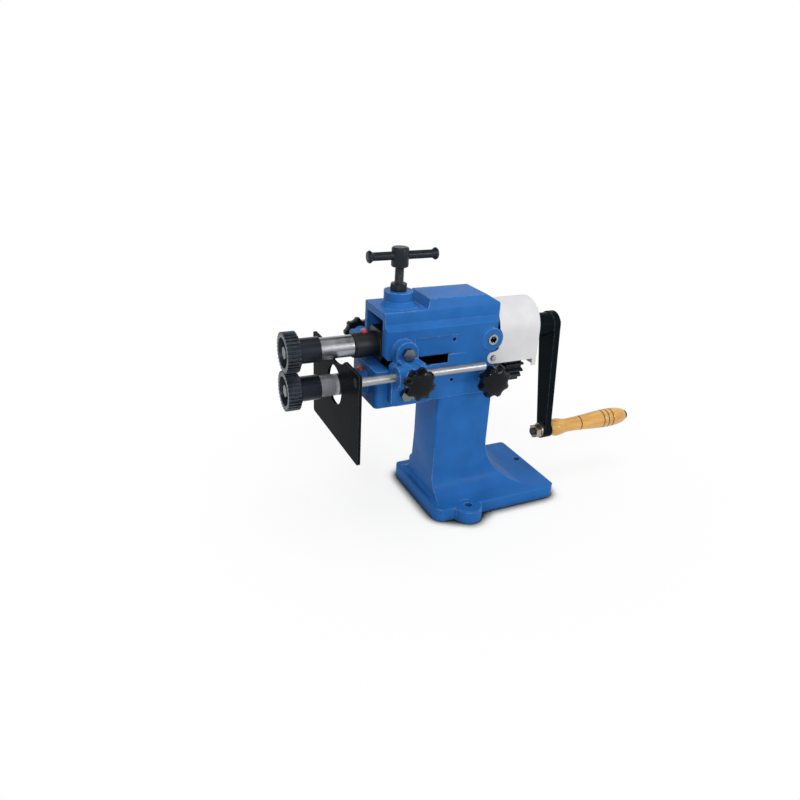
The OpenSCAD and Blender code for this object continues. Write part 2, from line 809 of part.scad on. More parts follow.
// Guide bracket of the front side: foot on the head, arm, rod boss and knob boss
module guide_bracket() {
    foot_out = foot_y + foot_t;
    foot_z0 = lower_bolt_z - lobe_r;
    arm_top_z0 = upper_bolt_z - lobe_r / 2;
    arm_low_z0 = rod_z - 2 * boss_r;
    arm_left_x = bracket_x - bracket_arm_w / 2;
    arm_right_x = bracket_x + bracket_arm_w / 2;
    difference() {
        union() {
            slab_y(-foot_out, -foot_y) {
                rounded_rect([bracket_x - foot_w / 2, foot_z0], [bracket_x + foot_w / 2, slot_z1],
                    foot_corner_r);
                translate([bracket_x, upper_bolt_z]) circle(r = lobe_r);
                translate([bracket_x - lobe_r, slot_z1 - foot_corner_r])
                    square([2 * lobe_r, upper_bolt_z - slot_z1 + foot_corner_r]);
            }
            slab_x(arm_left_x, arm_right_x)
                polygon([[-foot_y, arm_top_z0], [-foot_out, arm_top_z0],
                    [-rod_y, rod_z + boss_r], [-rod_y, rod_z - boss_r],
                    [-foot_out, arm_low_z0], [-foot_y, arm_low_z0]]);
            along_x(boss_x0, boss_x1, boss_r, -rod_y, rod_z);
            along_y(-knob_boss_y, -rod_y, knob_boss_r, boss_x, rod_z);
        }
        along_x(min(boss_x0, arm_left_x) - past, max(boss_x1, arm_right_x) + past, rod_r + running,
            -rod_y, rod_z);
        along_y(-knob_boss_y - past, -rod_y, knob_stem_r + running, boss_x, rod_z);
        for (z = [upper_bolt_z, lower_bolt_z])
            along_y(-foot_out - past, -foot_y + past, bracket_bolt_r, bracket_x, z);
        along_y(-rod_y - boss_r, -foot_out, bracket_bolt_flats / 2 + 2, bracket_x, upper_bolt_z);
    }
}

module guide_bracket_front() {
    color(blue) guide_bracket();
}

module guide_bracket_rear() {
    color(blue) mirror([0, 1, 0]) guide_bracket();
}

// Hexagon bolts that hold the brackets
module bracket_bolts() {
    foot_out = foot_y + foot_t;
    color(dark_steel) both_sides()
        for (z = [upper_bolt_z, lower_bolt_z]) {
            hex_y(-foot_out - bracket_bolt_head_h, -foot_out, bracket_bolt_flats, bracket_x, z);
            along_y(-foot_out, bracket_bolt_depth - foot_y, bracket_bolt_r, bracket_x, z);
        }
}

// Outline of a star knob
module star_outline() {
    difference() {
        circle(r = knob_d / 2);
        for (i = [0 : knob_lobes - 1])
            rotate(360 * (i + 0.5) / knob_lobes) translate([valley_offset, 0]) circle(r = valley_r);
    }
}

// Star knob on its stem, back face of the collar at the origin, grip along +Z, stem along -Z
module star_knob(stem_l) {
    crown = 3;
    difference() {
        union() {
            cylinder(h = knob_collar_t + embed, r = knob_collar_r);
            translate([0, 0, knob_collar_t]) intersection() {
                linear_extrude(height = knob_t) star_outline();
                union() {
                    cylinder(h = knob_t - crown, r = knob_d / 2 + past);
                    translate([0, 0, knob_t - crown])
                        cylinder(h = crown, r1 = knob_d / 2 + past, r2 = knob_d / 2 - crown);
                }
            }
        }
        translate([0, 0, knob_collar_t + knob_t - 1]) cylinder(h = 1 + past, r = knob_d / 4);
    }
    translate([0, 0, -stem_l]) cylinder(h = stem_l + embed, r = knob_stem_r);
}

// Clamp knob of the front guide bracket
module clamp_knob() {
    translate([boss_x, -knob_boss_y - touch_gap, rod_z]) rotate([90, 0, 0])
        star_knob(knob_boss_y - rod_y - rod_r);
}

module clamp_knob_front() {
    color(black) clamp_knob();
}

module clamp_knob_rear() {
    color(black) mirror([0, 1, 0]) clamp_knob();
}

// Knob that locks the sliding sleeve of the lower shaft
module shaft_lock_knob() {
    color(black) translate([lock_knob_x, -lock_boss_y - touch_gap, lower_axis_z])
        rotate([90, 0, 0]) star_knob(lock_boss_y - sleeve_r);
}

// Ring of teeth on a roll, turned by the given angle
module roll_outline(turn) {
    pitch = 360 / roll_teeth;
    root_r = roll_r - roll_tooth_h;
    rotate(turn) polygon([for (i = [0 : roll_teeth - 1], p = [[-0.32, 0], [-0.17, 1], [0.17, 1], [0.32, 0]])
        (root_r + p[1] * roll_tooth_h) * [cos(pitch * (i + p[0])), sin(pitch * (i + p[0]))]]);
}

// Roll on an axis at the given height
module roll(z, turn) {
    difference() {
        union() {
            translate([0, 0, z]) slab_x(roll_x0, rim_x1) roll_outline(turn);
            cone_x(rim_x1 - embed, roll_x1, rim_r, rim_r - roll_chamfer, 0, z);
            along_x(roll_x1 - embed, hub_x1, roll_hub_r, 0, z);
        }
        along_x(roll_x0 - past, hub_x1 + past, seat_r, 0, z);
        cone_x(roll_x0 - past, dish_x, dish_r + 2, dish_r, 0, z);
        roll_key(z, past);
    }
}

// Key between roll and shaft, with extra length at both ends for its slots
module roll_key(z, extra = 0) {
    box([seat_x0 + roll_key_inset - extra, -key_w / 2, z + seat_r - key_h / 2],
        [hub_x1 - roll_key_inset + extra, key_w / 2, z + seat_r + key_h / 2]);
}

module upper_roll() {
    color(dark_steel) roll(upper_axis_z, -90);
}

module lower_roll() {
    color(dark_steel) roll(lower_axis_z, 90 + 180 / roll_teeth);
}

module upper_roll_key() {
    color(steel) roll_key(upper_axis_z);
}

module lower_roll_key() {
    color(steel) roll_key(lower_axis_z);
}

// Screw in the face of a roll
module roll_screw(z) {
    head_x1 = dish_x - roll_washer_t;
    hex_x(head_x1 - bracket_bolt_head_h, head_x1, bracket_bolt_flats, 0, z);
    along_x(head_x1, seat_x0 + tap_depth, roll_screw_r, 0, z);
}

module upper_roll_screw() {
    color(steel) roll_screw(upper_axis_z);
}

module lower_roll_screw() {
    color(steel) roll_screw(lower_axis_z);
}

// Washer under a roll screw
module roll_washer(z) {
    difference() {
        along_x(dish_x - roll_washer_t, dish_x, roll_washer_r, 0, z);
        along_x(dish_x - roll_washer_t - past, dish_x + past, roll_screw_r, 0, z);
    }
}

module upper_roll_washer() {
    color(steel) roll_washer(upper_axis_z);
}

module lower_roll_washer() {
    color(steel) roll_washer(lower_axis_z);
}

// Roll end of a shaft, up to the end of its bright collar
module shaft_nose(z, collar_x1) {
    along_x(seat_x0, hub_x1 + embed, seat_r, 0, z);
    along_x(hub_x1, collar_x1, collar_r, 0, z);
}

// Tapped hole and key slot in the roll end of a shaft
module nose_cuts(z) {
    along_x(seat_x0 - past, seat_x0 + tap_depth, roll_screw_r, 0, z);
    roll_key(z);
}

// Upper shaft, from its roll to the crank
module upper_shaft() {
    color(steel) difference() {
        union() {
            shaft_nose(upper_axis_z, arm_x0 - bush_flange_t - free_gap);
            along_x(arm_x0 - bush_flange_t - free_gap - embed, tail_x0, journal_r, 0, upper_axis_z);
            along_x(tail_x0 - embed, tail_x1, tail_r, 0, upper_axis_z);
        }
        nose_cuts(upper_axis_z);
        gear_key(upper_axis_z);
        crank_key_box();
        along_x(tail_x1 - tap_depth, tail_x1 + past, crank_bolt_r, 0, upper_axis_z);
    }
}

// Lower shaft, from its roll to the lower gear
module lower_shaft() {
    collar_x1 = lower_nose_x0 - bush_flange_t - sleeve_travel - 2 * free_gap;
    color(steel) difference() {
        union() {
            shaft_nose(lower_axis_z, collar_x1);
            along_x(collar_x1 - embed, gear_x1 + ring_t + ring_land, journal_r, 0, lower_axis_z);
        }
        nose_cuts(lower_axis_z);
        gear_key(lower_axis_z);
        difference() {
            along_x(gear_x1, gear_x1 + ring_t, journal_r + past, 0, lower_axis_z);
            along_x(gear_x1 - past, gear_x1 + ring_t + past, journal_r - ring_groove, 0, lower_axis_z);
        }
    }
}

// Swing arm: round nose in front of the head, square body inside it
module swing_arm() {
    color(black) difference() {
        union() {
            along_x(arm_x0, arm_body_x0 + embed, arm_nose_r, 0, upper_axis_z);
            translate([0, 0, upper_axis_z]) slab_x(arm_body_x0, arm_x1) polygon([
                for (q = [0 : 3], p = [[arm_y, arm_chamfer - arm_y], [arm_y, arm_y - arm_chamfer]])
                    [p[0] * cos(90 * q) - p[1] * sin(90 * q), p[0] * sin(90 * q) + p[1] * cos(90 * q)]]);
        }
        along_x(arm_x0 - past, arm_x1 + past, shaft_room_r, 0, upper_axis_z);
        along_x(arm_x0 - past, arm_x0 + front_bush_l, bush_r, 0, upper_axis_z);
        along_x(arm_x1 - arm_rear_bush_l, arm_x1 + past, bush_r, 0, upper_axis_z);
        both_sides()
            along_y(-arm_y - past, 0, pivot_tip_r + running, pivot_x, pivot_z);
        along_z(arm_top_z - button_depth, arm_top_z + past, button_r, screw_x);
        along_z(upper_axis_z - arm_y - past, spring_z1, spring_seat_r, spring_x);
        oil_seat(upper_oil_x, upper_oil_z);
    }
}

// Flanged bush on a shaft, flange at x_flange, body of the given length to the +1 or -1 side
module bush(z, x_flange, length, to) {
    x0 = to > 0 ? x_flange : x_flange - length;
    x1 = to > 0 ? x_flange + length : x_flange;
    f0 = to > 0 ? x_flange - bush_flange_t : x_flange;
    difference() {
        union() {
            along_x(x0, x1, bush_r, 0, z);
            along_x(f0, f0 + bush_flange_t, bush_flange_r, 0, z);
        }
        along_x(x0 - bush_flange_t - past, x1 + bush_flange_t + past, journal_r + running, 0, z);
    }
}

module arm_front_bush() {
    color(bronze) bush(upper_axis_z, arm_x0, front_bush_l, 1);
}

module arm_rear_bush() {
    color(bronze) bush(upper_axis_z, arm_x1, arm_rear_bush_l, -1);
}

module lower_front_bush() {
    color(bronze) bush(lower_axis_z, lower_nose_x0, front_bush_l, 1);
}

// Sliding sleeve of the lower shaft's crank end
module lower_rear_sleeve() {
    color(dark_steel) difference() {
        union() {
            along_x(sleeve_x1 - sleeve_l, sleeve_x1, sleeve_r, 0, lower_axis_z);
            along_x(sleeve_x1 - sleeve_flange_t, sleeve_x1, sleeve_flange_r, 0, lower_axis_z);
        }
        along_x(sleeve_x1 - sleeve_l - past, sleeve_x1 + past, bush_r, 0, lower_axis_z);
    }
}

// Plain bush inside the sliding sleeve
module lower_rear_bush() {
    color(bronze) difference() {
        along_x(sleeve_x1 - sleeve_l, sleeve_x1, bush_r, 0, lower_axis_z);
        along_x(sleeve_x1 - sleeve_l - past, sleeve_x1 + past, journal_r + running, 0, lower_axis_z);
    }
}

// Socket-head pivot screws that the swing arm tilts on
module pivot_screws() {
    proud = 1.5;
    socket_depth = 6;
    color(steel) both_sides() difference() {
        union() {
            along_y(-pivot_boss_y - proud, -pivot_shoulder_y, pivot_screw_r, pivot_x, pivot_z);
            along_y(-pivot_shoulder_y - embed, -pivot_tip_y, pivot_tip_r, pivot_x, pivot_z);
        }
        hex_y(-pivot_boss_y - proud - past, -pivot_boss_y - proud + socket_depth,
            2 * pivot_socket_r, pivot_x, pivot_z);
    }
}

// Pressure screw with its drilled head
module pressure_screw() {
    head_edge = 1.5;
    r = screw_head_d / 2;
    color(dark_steel) difference() {
        union() {
            along_z(screw_tip_z, screw_head_z0 + embed, screw_r, screw_x);
            along_z(swivel_z0 + swivel_floor + touch_gap, screw_tip_z + embed, spigot_r, screw_x);
            translate([screw_x, 0, screw_head_z0]) rotate_extrude() polygon([[0, 0], [r - head_edge, 0],
                [r, head_edge], [r, screw_head_h - 2 * head_edge],
                [r - head_edge / 2, screw_head_h - head_edge / 2], [r - 2 * head_edge, screw_head_h],
                [0, screw_head_h]]);
        }
        along_x(screw_x - r - past, screw_x + r + past, bar_r + running, 0, bar_z);
    }
}

// Tommy bar that slides in the screw's head
module tommy_bar() {
    color(dark_steel)
        along_x(bar_x - bar_l / 2 - bar_seat, bar_x + bar_l / 2 + bar_seat, bar_r, 0, bar_z);
}

// Flanged ends pressed on the tommy bar
module tommy_bar_ends() {
    color(dark_steel) for (side = [-1, 1])
        translate([bar_x + side * bar_l / 2, 0, bar_z]) rotate([0, side * 90, 0]) difference() {
            rotate_extrude() polygon([[0, 0], [bar_r + bar_end_lip, 0],
                [bar_end_r - bar_end_lip, bar_end_t * 0.35],
                [bar_end_r, bar_end_t * 0.55], [bar_end_r, bar_end_t * 0.7],
                [bar_end_r - bar_end_lip, bar_end_t * 0.9], [bar_r, bar_end_t], [0, bar_end_t]]);
            translate([0, 0, -past]) cylinder(h = bar_seat + past, r = bar_r);
        }
}

// Hexagon lock nut of the pressure screw
module lock_nut() {
    color(dark_steel) difference() {
        translate([screw_x, 0, nut_z0]) cylinder(h = nut_h, r = nut_flats / sqrt(3), $fn = 6);
        along_z(nut_z0 - past, nut_z0 + nut_h + past, screw_r + running, screw_x);
    }
}

// Pad that swivels on the screw's tip and rides up and down with it
module swivel_pad() {
    color(steel) difference() {
        along_z(swivel_z0, swivel_z1, swivel_r, screw_x);
        along_z(swivel_z0 + swivel_floor, swivel_z1 + past, spigot_r + running, screw_x);
    }
}

// Hardened button that the pressure screw bears on
module pressure_button() {
    color(steel) along_z(arm_top_z - button_depth, arm_top_z + button_rise, button_r, screw_x);
}

// Point on the centre line of the lift spring, u from 0 to 1
function spring_point(u) = [spring_mean_r * cos(360 * spring_turns * u),
    spring_mean_r * sin(360 * spring_turns * u),
    spring_wire_r + u * (spring_l - 2 * spring_wire_r)];

// Compression spring that lifts the swing arm
module lift_spring() {
    rings = spring_turns * spring_rings;
    pts = [for (i = [0 : rings], k = [0 : spring_sides - 1])
        let (a = 360 * spring_turns * i / rings, c = spring_point(i / rings), b = 360 * k / spring_sides)
        c + spring_wire_r * (cos(b) * [cos(a), sin(a), 0] + sin(b) * [0, 0, 1])];
    sides = [for (i = [0 : rings - 1], k = [0 : spring_sides - 1], t = [0, 1])
        let (n = (k + 1) % spring_sides, p = i * spring_sides, q = p + spring_sides)
        t == 0 ? [p + k, p + n, q + n] : [p + k, q + n, q + k]];
    caps = [[for (k = [0 : spring_sides - 1]) spring_sides - 1 - k],
        [for (k = [0 : spring_sides - 1]) rings * spring_sides + k]];
    echo(spring_turn_gap = (spring_l - 2 * spring_wire_r) / spring_turns - 2 * spring_wire_r);
    color(steel) translate([spring_x, 0, spring_z0])
        polyhedron(points = pts, faces = concat(sides, caps), convexity = 10);
}

// Oil cap standing on a surface at the given height
module oil_cap(x, z) {
    translate([x, 0, z]) rotate_extrude() polygon([[0, -oil_cap_seat], [oil_cap_r / 2, -oil_cap_seat],
        [oil_cap_r / 2, 0], [oil_cap_r, 0], [oil_cap_r, oil_cap_h - oil_cap_edge],
        [oil_cap_r - oil_cap_edge, oil_cap_h], [0, oil_cap_h]]);
}

// Flat seat and hole for an oil cap at the given height
module oil_seat(x, z) {
    along_z(z, z + past, oil_cap_r + free_gap, x);
    along_z(z - oil_cap_seat, z + past, oil_cap_r / 2, x);
}

module upper_oil_cap() {
    color(red) oil_cap(upper_oil_x, upper_oil_z);
}

module lower_oil_cap() {
    color(red) oil_cap(lower_oil_x, lower_oil_z);
}

// Involute of an angle in degrees, in degrees
function inv(a) = tan(a) * 180 / PI - a;

// Half the tooth's angle at radius r
function half_tooth(r) = 90 / gear_teeth - backlash / 2 / pitch_r * 180 / PI + inv(pressure_angle)
    - (r > gear_base_r ? inv(acos(gear_base_r / r)) : 0);

// Radii of the points along a flank, from the root to the tip
flank_radii = concat([gear_root_r], [for (i = [0 : flank_steps])
    max(gear_base_r, gear_root_r) + (gear_tip_r - max(gear_base_r, gear_root_r)) * i / flank_steps]);
flank_n = len(flank_radii);

// Outline of a gear, turned by the given angle
module gear_outline(turn) {
    rotate(turn) polygon([for (i = [0 : gear_teeth - 1], j = [0 : 2 * flank_n - 1])
        let (r = j < flank_n ? flank_radii[j] : flank_radii[2 * flank_n - 1 - j],
            a = 360 * i / gear_teeth + (j < flank_n ? -1 : 1) * half_tooth(r))
        r * [cos(a), sin(a)]]);
}

// Key between gear and shaft
module gear_key(z, extra = 0) {
    box([gear_x0 + gear_key_inset - extra, -key_w / 2, z + journal_r - key_h / 2],
        [gear_x1 - gear_key_inset + extra, key_w / 2, z + journal_r + key_h / 2]);
}

// Spur gear with a hub on its head side
module gear(z, turn, hub_start) {
    difference() {
        union() {
            translate([0, 0, z]) slab_x(gear_x0, gear_x1) gear_outline(turn);
            along_x(hub_start, gear_x0 + embed, gear_hub_r, 0, z);
        }
        along_x(hub_start - past, gear_x1 + past, journal_r, 0, z);
        gear_key(z, gear_key_inset + past);
    }
}

module upper_gear() {
    color(black) gear(upper_axis_z, -90, gear_hub_x0);
}

module lower_gear() {
    color(black) gear(lower_axis_z, 90 + 180 / gear_teeth, lower_hub_x0);
}

module upper_gear_key() {
    color(steel) gear_key(upper_axis_z);
}

module lower_gear_key() {
    color(steel) gear_key(lower_axis_z);
}

// Retaining ring behind the lower gear
module lower_gear_ring() {
    color(steel) difference() {
        along_x(gear_x1, gear_x1 + ring_t, ring_r, 0, lower_axis_z);
        along_x(gear_x1 - past, gear_x1 + ring_t + past, journal_r - ring_groove, 0, lower_axis_z);
    }
}

// Tube between the upper gear and the crank
module shaft_spacer() {
    color(dark_steel) difference() {
        along_x(tail_x0, hub_x0, spacer_r, 0, upper_axis_z);
        along_x(tail_x0 - past, hub_x0 + past, tail_r, 0, upper_axis_z);
    }
}

// Outline of the gear cover from its end, drawn in by the given amount
module cover_outline(inset, foot) {
    r = cover_y - inset;
    translate([-r, foot]) square([2 * r, cover_arch_z - foot]);
    translate([0, cover_arch_z]) circle(r = r, $fn = 96);
}

// Sheet hood over the gears, with a tab on each side of the head
module gear_cover() {
    color(cover_grey) difference() {
        union() {
            slab_x(cover_x0, cover_x1) cover_outline(0, cover_z0);
            slab_x(cover_x1 - cover_lip_l, cover_x1) cover_outline(0, cover_lip_z);
            both_sides() difference() {
                union() {
                    along_y(-cover_y, -head_y, tab_r, tab_x, tab_z);
                    box([tab_x, -cover_y, tab_z - tab_r], [cover_x0 + embed, -head_y, pivot_z]);
                }
                along_y(-cover_y - past, -head_y + past, tab_arc_r, pivot_x, pivot_z);
            }
        }
        slab_x(cover_x0 - past, cover_x1 - cover_t) cover_outline(cover_t, cover_lip_z - past);
        along_x(cover_x1 - cover_t - past, cover_x1 + past, cover_hole_r, 0, upper_axis_z);
        box([cover_x1 - cover_t - past, -cover_hole_r, cover_lip_z - past],
            [cover_x1 + past, cover_hole_r, upper_axis_z]);
        both_sides() {
            along_y(-cover_y - past, -head_y + past, cover_screw_r, tab_x, tab_z);
            along_y(-pivot_boss_y - past, -head_y + past, pivot_boss_r + 1, pivot_x, pivot_z);
        }
    }
}

// Round-head screws of the gear cover
module cover_screws() {
    color(steel) both_sides() {
        along_y(-cover_y, cover_screw_depth - head_y, cover_screw_r, tab_x, tab_z);
        translate([tab_x, -cover_y, tab_z]) rotate([90, 0, 0])
            cylinder(h = cover_screw_head_h, r1 = cover_screw_head_r, r2 = cover_screw_head_r - 1);
    }
}

// Key between crank and shaft
module crank_key_box(extra = 0) {
    box([hub_x0 + crank_key_inset - extra, -key_w / 2, upper_axis_z + tail_r - key_h / 2],
        [tail_x1 - crank_key_inset + extra, key_w / 2, upper_axis_z + tail_r + key_h / 2]);
}

// Outline of the crank arm, hanging down from its hub at the origin
module crank_outline() {
    lean = asin((crank_hub_r - crank_eye_r) / crank_throw);
    top = (crank_hub_r - flank_inset) * [cos(lean), -sin(lean)];
    low = (crank_eye_r - flank_inset) * [cos(lean), -sin(lean)] - [0, crank_throw];
    polygon([[-top[0], top[1]], [-low[0], low[1]], low, top]);
    circle(r = crank_hub_r);
    translate([0, -crank_throw]) circle(r = crank_eye_r);
}

// Crank arm with its hub and eye
module crank_arm() {
    color(black) difference() {
        union() {
            translate([0, 0, upper_axis_z]) slab_x(crank_x0, crank_x1)
                rotate(-crank_angle) crank_outline();
            along_x(hub_x0, crank_x0 + embed, crank_hub_r - hub_step, 0, upper_axis_z);
            along_x(eye_x0, crank_x1 + eye_boss_proud, eye_boss_r, eye_y, eye_z);
        }
        along_x(hub_x0 - past, crank_x1 + past, tail_r, 0, upper_axis_z);
        crank_key_box(past);
        along_x(eye_x0 - past, grip_x0 + past, stud_r, eye_y, eye_z);
    }
}

module crank_key() {
    color(steel) crank_key_box();
}

// Washer and bolt on the shaft's crank end
module crank_washer() {
    color(steel) difference() {
        along_x(crank_x1, crank_x1 + crank_washer_t, crank_washer_r, 0, upper_axis_z);
        along_x(crank_x1 - past, crank_x1 + crank_washer_t + past, crank_bolt_r, 0, upper_axis_z);
    }
}

module crank_bolt() {
    x = crank_x1 + crank_washer_t;
    color(steel) {
        hex_x(x, x + bracket_bolt_head_h, bracket_bolt_flats, 0, upper_axis_z);
        along_x(tail_x1 - tap_depth, x + embed, crank_bolt_r, 0, upper_axis_z);
    }
}

// Stud through grip and crank eye, with a round head at the grip's end
module handle_stud() {
    x0 = eye_x0 - washer_t - handle_nut_h - stud_end;
    head_edge_x = grip_x1 + stud_head_t - stud_head_edge;
    color(steel) {
        along_x(x0, grip_x1 + embed, stud_r, eye_y, eye_z);
        along_x(grip_x1 + touch_gap, head_edge_x, stud_head_r, eye_y, eye_z);
        cone_x(head_edge_x, grip_x1 + stud_head_t, stud_head_r, stud_head_r - stud_head_edge, eye_y, eye_z);
    }
}

module handle_nut() {
    x1 = eye_x0 - washer_t;
    color(steel) difference() {
        hex_x(x1 - handle_nut_h, x1, nut_flats, eye_y, eye_z);
        along_x(x1 - handle_nut_h - past, x1 + past, stud_r, eye_y, eye_z);
    }
}

module handle_washer() {
    color(steel) difference() {
        along_x(eye_x0 - washer_t, eye_x0, crank_eye_r, eye_y, eye_z);
        along_x(eye_x0 - washer_t - past, eye_x0 + past, stud_r, eye_y, eye_z);
    }
}

// Last key of the grip's outline at or before the share s of its length
function grip_span(s) = max([for (k = [0 : len(grip_keys) - 2]) if (grip_keys[k][0] <= s) k]);

// Radius of the grip at the share s of its length from the crank
function grip_profile(s) = let (a = grip_keys[grip_span(s)], b = grip_keys[grip_span(s) + 1],
        t = (s - a[0]) / (b[0] - a[0]))
    grip_r * (a[1] + (b[1] - a[1]) * (b[0] < 1 ? (1 - cos(180 * t)) / 2 : 1 - sqrt(1 - t * t)));

// Turned wooden grip that spins on the stud
module handle_grip() {
    steps = 30;
    color(wood) translate([grip_x0, eye_y, eye_z]) rotate([0, 90, 0]) difference() {
        rotate_extrude() polygon(concat([[0, 0]],
            [for (i = [0 : steps]) [grip_profile(i / steps), grip_l * i / steps]], [[0, grip_l]]));
        translate([0, 0, -past]) cylinder(h = grip_l + 2 * past, r = stud_r + running);
        for (g = grip_grooves) {
            r = grip_profile(g);
            translate([0, 0, grip_l * g]) rotate_extrude() polygon([[r - groove_depth, 0],
                [r + past, -groove_half_w * 2], [r + past, groove_half_w * 2]]);
        }
    }
}

frame_casting();
fence_plate();
guide_rod_front();
guide_rod_rear();
guide_bracket_front();
guide_bracket_rear();
bracket_bolts();
fence_screws();
clamp_knob_front();
clamp_knob_rear();
shaft_lock_knob();
upper_roll();
lower_roll();
upper_roll_screw();
lower_roll_screw();
upper_roll_washer();
lower_roll_washer();
upper_roll_key();
lower_roll_key();
upper_shaft();
lower_shaft();
swing_arm();
arm_front_bush();
arm_rear_bush();
lower_front_bush();
lower_rear_sleeve();
lower_rear_bush();
pivot_screws();
pressure_screw();
tommy_bar();
tommy_bar_ends();
lock_nut();
swivel_pad();
pressure_button();
lift_spring();
upper_oil_cap();
lower_oil_cap();
upper_gear();
lower_gear();
upper_gear_key();
lower_gear_key();
lower_gear_ring();
shaft_spacer();
gear_cover();
cover_screws();
crank_arm();
crank_key();
crank_washer();
crank_bolt();
handle_stud();
handle_nut();
handle_washer();
handle_grip();
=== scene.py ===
"""Looks of the hand-cranked bead roller: finishes, casting, grip, knobs, pressure screw, stage and camera."""

import json
import math

import bmesh
import bpy
from mathutils import Matrix, Vector


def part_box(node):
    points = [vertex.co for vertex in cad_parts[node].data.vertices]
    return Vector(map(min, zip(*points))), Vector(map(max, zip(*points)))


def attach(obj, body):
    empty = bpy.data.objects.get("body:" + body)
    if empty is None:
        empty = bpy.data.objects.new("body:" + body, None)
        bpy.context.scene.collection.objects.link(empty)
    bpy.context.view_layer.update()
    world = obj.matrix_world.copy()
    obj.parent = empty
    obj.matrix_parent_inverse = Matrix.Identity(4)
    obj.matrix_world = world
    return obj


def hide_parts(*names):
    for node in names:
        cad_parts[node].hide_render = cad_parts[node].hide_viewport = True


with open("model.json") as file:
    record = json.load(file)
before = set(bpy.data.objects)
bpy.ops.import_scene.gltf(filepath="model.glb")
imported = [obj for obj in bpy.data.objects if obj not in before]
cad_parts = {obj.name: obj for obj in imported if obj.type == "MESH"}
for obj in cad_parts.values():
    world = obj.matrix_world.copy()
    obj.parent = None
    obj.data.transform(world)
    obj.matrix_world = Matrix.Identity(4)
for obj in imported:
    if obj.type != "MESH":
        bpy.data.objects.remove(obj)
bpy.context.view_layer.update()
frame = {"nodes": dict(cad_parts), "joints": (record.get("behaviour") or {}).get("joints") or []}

bl_info = {
    "name": "Bead roller looks",
    "version": (1, 0, 0),
    "blender": (4, 5, 0),
    "location": "3D View > Sidebar > Bead roller",
    "description": "Finishes and turned pieces of a hand-cranked bead roller",
    "category": "Object",
}

# Lengths are in metres
NEAR = 0.00005
FAR = 1.0
QUARTER_TURN = math.radians(90)

# The grip by shares of its length: places of its lines, and its radius at some places
GRIP_GROOVES = (0.385, 0.675, 0.735, 0.795)
GRIP_SHAPE = ((0.0, 0.0094), (0.09, 0.0122), (0.23, 0.0095), (0.78, 0.0131), (1.0, 0.0067))

# Low and high corners of dark patches, with Y counted from the middle to either side: painted shade, except
# the roll hubs, which are really black
SLOT_SHADE = ((-0.150, -FAR, 0.2025), (-0.07, 0.0312, 0.2145))
POCKET_SHADE = ((-0.150, -FAR, 0.2025), (0.02, 0.0198, 0.2525))
ROLL_HUBS = ((-0.2465, -FAR, -FAR), (-0.22, FAR, FAR))
LOWER_SHAFT_SHADE = ((-0.202, -FAR, -FAR), (-0.16, FAR, FAR))
PIVOT_SOCKET_SHADE = ((-0.0190, -FAR, 0.2229), (-0.0118, 0.0363, 0.2301))

# How close the fine lines of turned steel lie along each axis
SHAFT_LINES = (2200.0, 9.0, 9.0)
ROD_LINES = (2600.0, 14.0, 14.0)
BUSH_LINES = (1500.0, 20.0, 20.0)
PLATED = (300.0, 300.0, 300.0)

# Paler enamel for chipped edges and for the painted highlight on rounded edges
PALE_EDGE_WEAR_AND_HIGHLIGHT = (0.60, 0.81, 1.0, 1)
# Paler paint for the painted highlight on the sheet's edges
SHEET_EDGE_HIGHLIGHT = (0.92, 0.93, 0.95, 1)
WHITE = (1, 1, 1, 1)

# Name, place, target, size and power of each lamp
LAMPS = (
    ("Top light", (0.0, -0.1, 1.5), (-0.05, -0.02, 0.15), 0.7, 8.0),
    ("Front light", (0.75, -1.35, 0.75), (-0.03, 0.0, 0.16), 0.35, 5.8),
    ("Window light", (-0.7, -0.9, 0.9), (-0.03, -0.06, 0.17), 0.12, 3.4),
)

CAMERA_PLACE = (-0.44834, -0.67494, 0.49176)
CAMERA_LOOK = (0.3990, 0.8162, -0.4179)
CAMERA_ROLL = math.radians(2.99)


# Sizes and colours

def colour(name, description, value):
    """A colour that a user may change."""
    return bpy.props.FloatVectorProperty(
        name=name, description=description, default=(*value, 1.0), size=4, min=0, max=1, subtype="COLOR"
    )


def length(name, description, value):
    """A length that a user may change, in metres."""
    return bpy.props.FloatProperty(
        name=name, description=description, default=value, min=0, precision=5, unit="LENGTH"
    )


class BeadRollerSizes(bpy.types.PropertyGroup):
    """Sizes of what is modelled or softened here."""

    clamp_knob_radius: length("Clamp knob radius", "Radius over the lobes of a clamp knob", 0.0186)
    lock_knob_radius: length("Lock knob radius", "Radius over the lobes of the shaft lock knob", 0.0212)
    knob_edge: length("Knob edge", "Rounding of the edges of the star knobs", 0.0006)
    knob_collar: length("Knob collar", "Radius of the collar behind a star knob", 0.008)
    knob_stem: length("Knob stem", "Radius of a star knob's threaded stem", 0.004)
    thread_pitch: length("Thread pitch", "Pitch of the pressure screw's thread", 0.0015)
    thread_depth: length("Thread depth", "Depth of the pressure screw's thread", 0.0008)
    screw_radius: length("Screw radius", "Outer radius of the pressure screw's thread", 0.0054)
    screw_head: length("Screw head", "Height of the pressure screw's round head", 0.0220)
    bar_radius: length("Tommy bar radius", "Radius of the bar through the pressure screw's head", 0.0048)
    nut_chamfer: length("Nut chamfer", "Height of the turned chamfer on the lock nut's corners", 0.0013)
    grip_bore: length("Grip bore", "Radius of the hole through the wooden grip", 0.00505)
    groove_depth: length("Groove depth", "Depth of the turned lines on the wooden grip", 0.0005)
    groove_width: length("Groove width", "Half the width of the turned lines on the wooden grip", 0.0008)
    foot_top: length("Foot top", "Height at which the column's foot meets the round corners", 0.086)
    sweep_top: length("Sweep top", "Height at which the front sweep of the foot starts", 0.0495)
    corner_ease: length("Corner ease", "How far the foot's square corners go in at its top", 0.00117)
    casting_edge: length("Casting edge", "Rounding of the edges of the castings", 0.0022)
    black_edge: length("Black part edge", "Rounding of the edges of black painted parts", 0.0014)
    machined_edge: length("Machined edge", "Rounding of the edges of machined parts", 0.0005)
    sheet_edge: length("Sheet edge", "Rounding of the edges of the sheet hood", 0.0009)


